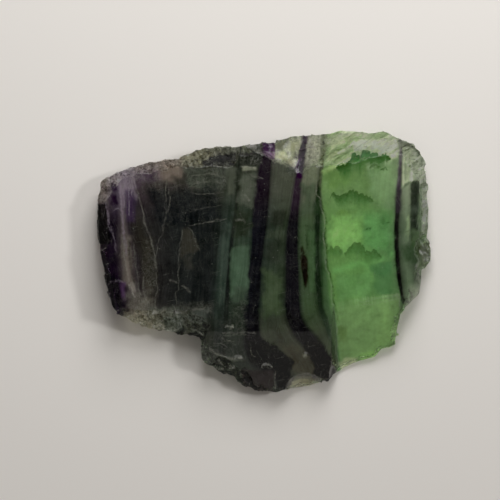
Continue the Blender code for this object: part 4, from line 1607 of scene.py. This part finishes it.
    def drawn_out(self, tree: Tree, plan: Socket, zone: Socket) -> Socket:
        """Places for the facets of the broken skin, drawn out along the cleavage above the green field.

        There they are 4.5 times as long and 0.7 times as wide, and elsewhere 0.74 times as wide.

        Args:
            tree: the node tree.
            plan: places in millimetres.
            zone: the growth coordinate, from 0 to 1.

        Returns:
            The places.
        """
        bent = self.wavered(tree, plan, 1.1, 0.5)
        lean = (0.0, 0.0, math.radians(LEDGE_LEAN))
        drawn = {"Vector": self.wavered(tree, plan, 0.5, 0.25), "Rotation": lean, "Scale": (4.5, 0.7, 1.0)}
        drawn = add(tree, "Mapping", drawn, vector_type="TEXTURE")
        green = add(tree, "MapRange", (zone, self.drawn[0] / ZONES, self.drawn[1] / ZONES))[0]
        bent = add(tree, "VectorMath", {0: bent, 3: 1.35}, operation="SCALE")[0]
        return add(tree, "Mix", {0: green, 4: bent, 5: drawn[0]}, data_type="VECTOR")[1]

    @staticmethod
    def tilted(tree: Tree, place: Socket, rough: Socket) -> Socket:
        """Surface direction, tilted facet by facet where the skin is broken, so that some catch a lamp.

        The facets are 1.3 mm wide, with others of 0.5 mm across them.

        Args:
            tree: the node tree.
            place: places for the facets.
            rough: how broken the surface is.

        Returns:
            The direction.
        """
        facing = add(tree, "NewGeometry")["Normal"]
        for scale, steep in ((0.8, 0.45), (2.1, 0.45)):
            cells = add(tree, "TexVoronoi", {"Vector": place, "Scale": scale}, voronoi_dimensions="2D")
            lean = add(tree, "VectorMath", (cells["Color"], (0.5,) * 3), operation="SUBTRACT")[0]
            share = add(tree, "Math", (rough, steep), operation="MULTIPLY")[0]
            lean = add(tree, "VectorMath", {0: lean, 3: share}, operation="SCALE")[0]
            facing = add(tree, "VectorMath", (facing, lean), operation="ADD")[0]
        return add(tree, "VectorMath", (facing,), operation="NORMALIZE")[0]

    @staticmethod
    def facets(tree: Tree, place: Socket) -> Socket:
        """Painted light and shade of the broken skin, on facets 1.3 mm wide, times a grain from 1 mm down
        across them, with painted glints, and darker along the facets' edges.

        Args:
            tree: the node tree.
            place: places for the facets.

        Returns:
            The painted light at each place, above 1 on the whole.
        """
        cells = add(tree, "TexVoronoi", {"Vector": place, "Scale": 0.8}, voronoi_dimensions="2D")
        tone = add(tree, "SeparateColor", (cells["Color"],))
        # painted light and shade, one tone for each facet
        light = add(tree, "MapRange", {0: tone[0], 3: 0.5, 4: 1.6})[0]
        fine = add(tree, "TexNoise", {"Vector": place, "Scale": 1.0, "Detail": 7.0, "Roughness": 0.7})["Fac"]
        grain = add(tree, "MapRange", (fine, 0.39, 0.61, 0.3, 1.85))[0]
        light = add(tree, "Math", (light, grain), operation="MULTIPLY")[0]
        # painted glints where the grain runs highest
        glint = add(tree, "MapRange", {0: fine, 1: 0.62, 2: 0.68, 4: 1.2})[0]
        edged = {"voronoi_dimensions": "2D", "feature": "DISTANCE_TO_EDGE"}
        gap = add(tree, "TexVoronoi", {"Vector": place, "Scale": 0.8}, **edged)["Distance"]
        # darker along the facets' edges
        facet_edge_darkening = add(tree, "MapRange", (gap, 0.0, 0.08, 0.65, 1.0))[0]
        lit = add(tree, "Math", (light, glint), operation="ADD")[0]
        return add(tree, "Math", (lit, facet_edge_darkening), operation="MULTIPLY")[0]

    def veins(self, tree: Tree, plan: Socket) -> Socket:
        """Thin pale veins along the middle heights of two wandering noises, of 1.8 mm and of 0.8 mm.

        Args:
            tree: the node tree.
            plan: places in millimetres.

        Returns:
            The cover, from 0 to 1.
        """
        bent = self.wavered(tree, plan, 0.8, 0.7)
        cover = add(tree, "Attribute", attribute_name="veined")["Fac"]
        lines = None
        for scale, most in ((0.55, 0.9), (1.3, 0.7)):
            noise = {"Vector": bent, "Scale": scale, "Detail": 4.0, "Roughness": 0.62}
            noise = add(tree, "TexNoise", noise)["Fac"]
            gap = add(tree, "Math", (noise, 0.5), operation="SUBTRACT")[0]
            gap = add(tree, "Math", (gap,), operation="ABSOLUTE")[0]
            line = add(tree, "MapRange", (gap, 0.0, 0.035, most, 0.0))[0]
            if lines is not None:
                line = add(tree, "Math", (lines, line), operation="MAXIMUM")[0]
            lines = line
        patchy = add(tree, "TexNoise", {"Vector": plan, "Scale": 0.4, "Detail": 2.0})["Fac"]
        patchy = add(tree, "MapRange", (patchy, 0.42, 0.62, 0.15, 1.0))[0]
        lines = add(tree, "Math", (lines, patchy), operation="MULTIPLY")[0]
        return add(tree, "Math", (lines, cover), operation="MULTIPLY")[0]

    @staticmethod
    def dusting(tree: Tree, plan: Socket) -> Socket:
        """Small pale specks and fine scuffs, 5 mm by 0.3 mm, just under the polish.

        Args:
            tree: the node tree.
            plan: places in millimetres.

        Returns:
            The cover, from 0 to 1.
        """
        cells = add(tree, "TexVoronoi", {"Vector": plan, "Scale": 0.85}, voronoi_dimensions="2D")
        tone = add(tree, "SeparateColor", (cells["Color"],))
        dot = add(tree, "MapRange", (cells["Distance"], 0.07, 0.15, 1.0, 0.0))[0]
        chosen = add(tree, "MapRange", {0: tone[0], 1: 0.95, 2: 1.0, 4: 0.6})[0]
        cover = add(tree, "Math", (dot, chosen), operation="MULTIPLY")[0]
        for turn in (-62, 14, 78):
            drawn = {"Vector": plan, "Rotation": (0.0, 0.0, math.radians(turn)), "Scale": (5.0, 0.3, 1.0)}
            drawn = add(tree, "Mapping", drawn, vector_type="TEXTURE")[0]
            scuff = add(tree, "TexNoise", {"Vector": drawn, "Scale": 1.0, "Detail": 1.0})
            scuff = add(tree, "MapRange", {0: scuff["Fac"], 1: 0.7, 2: 0.76, 4: 0.35})
            cover = add(tree, "Math", (cover, scuff[0]), operation="MAXIMUM")[0]
        return cover

    def feather(self, tree: Tree, feather: Feather, x: Socket, y: Socket) -> tuple[Socket, Socket]:
        """How far a feather covers each place, and how deep below its crest each place lies.

        It fades out at its reach below the middle of its crest, and sooner towards its ends.

        Args:
            tree: the node tree.
            feather: the feather.
            x: places across.
            y: places along, already lifted and lowered leaf by leaf.

        Returns:
            The cover, and the depth in millimetres.
        """
        share, crest = self.traced(tree, feather.crest, "corners", x)
        depth = add(tree, "Math", (crest, y), operation="SUBTRACT")[0]
        aside = add(tree, "MapRange", (share, 0.0, 1.0, -1.0, 1.0), clamp=False)[0]
        aside = add(tree, "Math", (aside, 4.0), operation="POWER")[0]
        arch = add(tree, "Math", (aside, -feather.reach, feather.reach), operation="MULTIPLY_ADD")[0]
        arch = add(tree, "Math", (arch, 0.001), operation="MAXIMUM")[0]
        gone = add(tree, "Math", (depth, arch), operation="DIVIDE")[0]
        soft = {"interpolation_type": "SMOOTHSTEP"}
        left = add(tree, "MapRange", (gone, 0.25, 1.0, feather.strength, 0.0), **soft)[0]
        toothed = add(tree, "MapRange", (depth, -0.05, 0.12), **soft)[0]
        cover = add(tree, "Math", (toothed, left), operation="MULTIPLY")[0]
        return cover, depth

    def feathered(self, tree: Tree, colour: Socket, plan: Socket) -> Socket:
        """Lay the feathers over a colour, darkest along their crests, each of leaves 0.8 mm wide.

        Args:
            tree: the node tree.
            colour: the colour below.
            plan: places in millimetres.

        Returns:
            The colour with its feathers.
        """
        axes = add(tree, "SeparateXYZ", (self.wavered(tree, plan, 1.4, 0.1),))
        leaves = add(tree, "TexVoronoi", {"Vector": plan, "Scale": 1.25}, voronoi_dimensions="2D")["Distance"]
        leaf = add(tree, "MapRange", (leaves, 0.0, 0.7, -0.2, 0.3))[0]
        height = add(tree, "Math", (axes["Y"], leaf), operation="ADD")[0]
        mottle = {"Vector": plan, "Scale": 1.5, "Detail": 4.0, "Roughness": 0.65}
        mottle = add(tree, "TexNoise", mottle)["Fac"]
        mottle = add(tree, "MapRange", (mottle, 0.3, 0.7, 0.75, 1.12))[0]
        for feather in FEATHERS.values():
            cover, depth = self.feather(tree, feather, axes["X"], height)
            cover = add(tree, "Math", (cover, mottle), operation="MULTIPLY")[0]
            deep = add(tree, "MapRange", (depth, 0.2, 1.6))[0]
            leafy = {0: deep, 6: linear(self.crest), 7: linear(self.leaf)}
            leafy = add(tree, "Mix", leafy, data_type="RGBA")[2]
            colour = add(tree, "Mix", {0: cover, 6: colour, 7: leafy}, data_type="RGBA")[2]
        return colour

    def grown(self, tree: Tree, plan: Socket, zone: Socket, rough: Socket) -> Socket:
        """Colour by growth zone, from the lower rim to the upper one, under the broken skin and the patches.

        Args:
            tree: the node tree.
            plan: places in millimetres.
            zone: the growth coordinate, from 0 to 1.
            rough: how broken the surface is.

        Returns:
            The colour.
        """
        height = add(tree, "SeparateXYZ", (plan,))["Y"]
        soft = {"interpolation_type": "SMOOTHSTEP"}
        upper = add(tree, "MapRange", (height, 9.0, 20.0), **soft)[0]
        lower = add(tree, "MapRange", (height, -10.0, -21.0), **soft)[0]
        mid, high, low = (self.zones(tree, zone, level) for level in ("mid", "high", "low"))
        colour = add(tree, "Mix", {0: upper, 6: mid, 7: high}, data_type="RGBA")[2]
        colour = add(tree, "Mix", {0: lower, 6: colour, 7: low}, data_type="RGBA")[2]
        skin = self.skin(tree, zone, height)
        ragged = add(tree, "TexNoise", {"Vector": plan, "Scale": 0.8, "Detail": 3.0})["Fac"]
        ragged = add(tree, "MapRange", (ragged, 0.35, 0.65, 0.4, 1.0))[0]
        cover = add(tree, "Math", (rough, ragged), operation="MULTIPLY")[0]
        colour = add(tree, "Mix", {0: cover, 6: colour, 7: skin}, data_type="RGBA")[2]
        cast = add(tree, "Attribute", attribute_name="cast")
        bare = add(tree, "Math", (1.0, cast["Alpha"]), operation="SUBTRACT")[0]
        colour = add(tree, "VectorMath", {0: colour, 3: bare}, operation="SCALE")[0]
        return add(tree, "VectorMath", (colour, cast["Color"]), operation="ADD")[0]

    def shaded(self, tree: Tree, plan: Socket, zone: Socket) -> Socket:
        """Shade of the stone's own growth: fibres along the bands times clouds.

        The fibres are 0.6 mm wide and 14 mm long, strongest where veins run; the clouds are from 3.3 mm down.

        Args:
            tree: the node tree.
            plan: places in millimetres.
            zone: the growth coordinate, from 0 to 1.

        Returns:
            How light each place is, about 1 on the whole.
        """
        height = add(tree, "SeparateXYZ", (plan,))["Y"]
        across = add(tree, "Attribute", attribute_name="across")["Fac"]
        fibres = add(tree, "CombineXYZ", (across, height, 0.0))[0]
        fibres = add(tree, "VectorMath", (fibres, (1.6, 0.07, 0.0)), operation="MULTIPLY")
        comb = add(tree, "TexNoise", {"Vector": fibres[0], "Scale": 1.0, "Detail": 5.0})
        comb = add(tree, "MapRange", (comb["Fac"], 0.3, 0.7, 0.78, 1.26))
        plain = add(tree, "MapRange", (zone, self.plain[0] / ZONES, self.plain[1] / ZONES, 1.0, 0.3))[0]
        veined = add(tree, "Attribute", attribute_name="veined")["Fac"]
        depth = add(tree, "Math", (veined, 1.7, plain), operation="MULTIPLY_ADD")[0]
        comb = add(tree, "Math", (comb[0], 1.0), operation="SUBTRACT")[0]
        comb = add(tree, "Math", (comb, depth, 1.0), operation="MULTIPLY_ADD")
        clouds = {"Vector": plan, "Scale": 0.3, "Detail": 7.0, "Roughness": 0.68}
        cloudy = add(tree, "TexNoise", clouds)["Fac"]
        cloudy = add(tree, "MapRange", (cloudy, 0.3, 0.7, 0.55, 1.5))[0]
        return add(tree, "Math", (comb[0], cloudy), operation="MULTIPLY")[0]

    def body(self, tree: Tree, plan: Socket, place: Socket, zone: Socket, rough: Socket) -> Socket:
        """Colour that the stone shows over white, with painted light and glints on the broken skin's facets.

        Args:
            tree: the node tree.
            plan: places in millimetres.
            place: places for the facets.
            zone: the growth coordinate, from 0 to 1.
            rough: how broken the surface is.

        Returns:
            The colour.
        """
        grown = {0: self.grown(tree, plan, zone, rough), 3: self.shaded(tree, plan, zone)}
        colour = add(tree, "VectorMath", grown, operation="SCALE")[0]
        dust = {0: self.dusting(tree, plan), 6: colour, 7: linear(self.dust)}
        colour = add(tree, "Mix", dust, data_type="RGBA")[2]
        veins = {0: self.veins(tree, plan), 6: colour, 7: linear(self.vein)}
        colour = add(tree, "Mix", veins, data_type="RGBA")[2]
        colour = self.flawed(tree, colour, plan)
        # painted light, shade and glints of the facets, laid on as far as the surface is broken
        facets = self.facets(tree, place)
        light = add(tree, "Mix", {0: rough, 2: 1.0, 3: facets})[0]
        colour = add(tree, "VectorMath", {0: colour, 3: light}, operation="SCALE")[0]
        return self.feathered(tree, colour, plan)

    def tint(self, tree: Tree, seen: Socket, rough: Socket) -> Socket:
        """Base colour b that shows a wanted colour s over white, where s = mirrored + veil b + glow b^2.

        Where more is mirrored than wanted, a fifth of the wanted colour is still left, for its hue.

        Args:
            tree: the node tree.
            seen: the wanted colour.
            rough: how broken the surface is.

        Returns:
            b = (sqrt(veil^2 + 4 glow (s - mirrored)) - veil) / (2 glow), at most 1.
        """
        mirrored = add(tree, "Math", (rough, self.haze, self.gloss), operation="MULTIPLY_ADD")[0]
        least = add(tree, "VectorMath", {0: seen, 3: 0.2}, operation="SCALE")[0]
        over = add(tree, "VectorMath", (seen, mirrored), operation="SUBTRACT")[0]
        seen = add(tree, "VectorMath", (over, least), operation="MAXIMUM")[0]
        root = (seen, (4.0 * self.glow,) * 3, (self.veil**2,) * 3)
        inner = add(tree, "VectorMath", root, operation="MULTIPLY_ADD")[0]
        raised = add(tree, "Gamma", (inner, 0.5))[0]
        less = add(tree, "VectorMath", (raised, (self.veil,) * 3), operation="SUBTRACT")[0]
        base = add(tree, "VectorMath", {0: less, 3: 0.5 / self.glow}, operation="SCALE")[0]
        return add(tree, "VectorMath", (base, (1.0,) * 3), operation="MINIMUM")[0]

    def material(self) -> bpy.types.Material:
        """Build the material; a fresh break's pits are about half a millimetre wide.

        Returns:
            The material.
        """
        material = bpy.data.materials.new("fluorite_polished_and_broken")
        material.use_nodes = True
        tree = material.node_tree
        shader = tree.nodes["Principled BSDF"]
        plan = add(tree, "Attribute", attribute_name="plan")["Vector"]
        zone = add(tree, "Attribute", attribute_name="growth")["Fac"]
        rough = add(tree, "Attribute", attribute_name="rough")["Fac"]
        sawn = add(tree, "Attribute", attribute_name="sawn")["Fac"]
        place = self.drawn_out(tree, plan, zone)
        seen = self.body(tree, plan, place, zone, rough)
        tree.links.new(self.tint(tree, seen, rough), shader.inputs["Base Color"])
        dull = add(tree, "MapRange", {0: rough, 3: self.polish, 4: self.cloth})[0]
        dull = add(tree, "Math", (sawn, self.saw, dull), operation="MULTIPLY_ADD")[0]
        tree.links.new(dull, shader.inputs["Roughness"])
        pits = add(tree, "TexNoise", {"Vector": plan, "Scale": 2.2, "Detail": 5.0})["Fac"]
        relief = add(tree, "MapRange", {0: rough, 3: 0.02, 4: 0.5})[0]
        facing = self.tilted(tree, place, rough)
        dents = {"Strength": relief, "Distance": self.pit * MM, "Height": pits, "Normal": facing}
        bump = add(tree, "Bump", dents)
        tree.links.new(bump["Normal"], shader.inputs["Normal"])
        shader.inputs["Metallic"].default_value = 0.0
        shader.inputs["IOR"].default_value = self.index
        shader.inputs["Transmission Weight"].default_value = self.clearness
        absorb = add(tree, "VolumeAbsorption", {"Color": linear(self.absorbed), "Density": self.density})
        tree.links.new(absorb[0], tree.nodes["Material Output"].inputs["Volume"])
        return material


# ---------------------------------------------------------------------------------------------- studio


@dataclass(frozen=True)
class Lamp:
    """A soft lamp panel that looks at the slab.

    Attributes:
        bearing: degrees round from +X towards +Y.
        elevation: degrees above the floor.
        distance: millimetres from the slab.
        width: side of the panel.
        power: watts.
    """

    bearing: float
    elevation: float
    distance: float
    width: float
    power: float

    def place(self, name: str) -> None:
        """Put the lamp up.

        Args:
            name: the lamp's name.
        """
        data = bpy.data.lights.new(name, "AREA")
        data.size = self.width * MM
        data.energy = self.power
        lamp = bpy.data.objects.new(name, data)
        turn, climb = math.radians(self.bearing), math.radians(self.elevation)
        spot = Vector((math.cos(turn) * math.cos(climb), math.sin(turn) * math.cos(climb), math.sin(climb)))
        lamp.location = spot * self.distance * MM
        lamp.visible_camera = False
        lamp.rotation_euler = (-spot).to_track_quat("-Z", "Y").to_euler()
        bpy.context.scene.collection.objects.link(lamp)


LAMPS = {
    "far_window": Lamp(bearing=13, elevation=43, distance=1800, width=250, power=7.7),
    "near_window": Lamp(bearing=78, elevation=33, distance=450, width=260, power=1.30),
    "ceiling_lamp": Lamp(bearing=95, elevation=56, distance=450, width=150, power=0.4),
}


@dataclass
class Studio:
    """A pale paper floor, soft lamps, a dim room and a camera straight overhead.

    Attributes:
        frame_width: width of floor that the picture takes in.
        camera_height: height of the camera over the floor.
        picture_centre: point of the floor in the middle of the picture.
        paper_width: width of the paper.
        paper_gap: how far the paper lies under the stone, so that their faces don't meet.
        paper_colour: its colour.
        paper_roughness: its roughness.
        room: the room's light from the horizon up to straight overhead, by the sine of the elevation.
    """

    frame_width: float = 135.0
    camera_height: float = 1500.0
    picture_centre: Point = (-3.685, 3.075)
    paper_width: float = 3000.0
    paper_gap: float = 0.05
    paper_colour: str = "E3DFDA"
    paper_roughness: float = 0.9
    room: tuple[tuple[float, str], ...] = (
        (0.0, "504E4B"),
        (0.62, "504E4B"),
        (0.76, "A3A09B"),
        (0.95, "A3A09B"),
        (0.98, "191919"),
        (1.0, "191919"),
    )

    def floor(self) -> None:
        """Lay the paper: white and matt, so that the lamps' light comes back softly all round the stone."""
        mesh = bpy.data.meshes.new("paper")
        half = 0.5 * self.paper_width * MM
        corners = [(-half, -half, 0), (half, -half, 0), (half, half, 0), (-half, half, 0)]
        mesh.from_pydata(corners, [], [(0, 1, 2, 3)])
        floor = bpy.data.objects.new("paper", mesh)
        floor.location.z = -self.paper_gap * MM
        material = bpy.data.materials.new("paper_matt_white")
        material.use_nodes = True
        shader = material.node_tree.nodes["Principled BSDF"]
        shader.inputs["Base Color"].default_value = linear(self.paper_colour)
        shader.inputs["Roughness"].default_value = self.paper_roughness
        mesh.materials.append(material)
        bpy.context.scene.collection.objects.link(floor)

    def camera(self) -> None:
        """Hang the camera straight above, level with the picture's edges."""
        data = bpy.data.cameras.new("camera")
        data.lens = data.sensor_width * self.camera_height / self.frame_width
        data.clip_start = 0.01
        camera = bpy.data.objects.new("camera", data)
        camera.location = (self.picture_centre[0] * MM, self.picture_centre[1] * MM, self.camera_height * MM)
        bpy.context.scene.collection.objects.link(camera)
        bpy.context.scene.camera = camera

    def surroundings(self) -> None:
        """Make the room: dim low down, light where the walls meet the ceiling, and dark over the camera."""
        world = bpy.data.worlds.new("room")
        world.use_nodes = True
        tree = world.node_tree
        ways = add(tree, "TexCoord")["Generated"]
        rise = add(tree, "SeparateXYZ", (ways,))["Z"]
        light = add(tree, "ValToRGB", {"Fac": rise}, stops=self.room)["Color"]
        tree.links.new(light, tree.nodes["Background"].inputs["Color"])
        bpy.context.scene.world = world

    def build(self) -> None:
        """Lay the floor, hang the camera and the lamps, and set the room round them."""
        self.floor()
        self.camera()
        for name, lamp in LAMPS.items():
            lamp.place(name)
        self.surroundings()
        bpy.context.scene.view_settings.view_transform = "Standard"


def main() -> None:
    """Load the frame, build and dress the stone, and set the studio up."""
    logging.basicConfig(level=logging.INFO, format="%(name)s: %(message)s")
    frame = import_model()
    log.info("frame loaded, with %s", ", ".join(frame["nodes"]))
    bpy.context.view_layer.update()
    low, high = (np.array(corner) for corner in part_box(NODE))
    stone = Slab().build(low, high)
    stone.data.materials.append(Fluorite().material())
    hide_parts(NODE)
    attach(stone, "root")
    log.info("%s: %d points, %d faces", stone.name, len(stone.data.vertices), len(stone.data.polygons))
    Studio().build()
    log.info("size written")


if __name__ == "__main__":
    main()
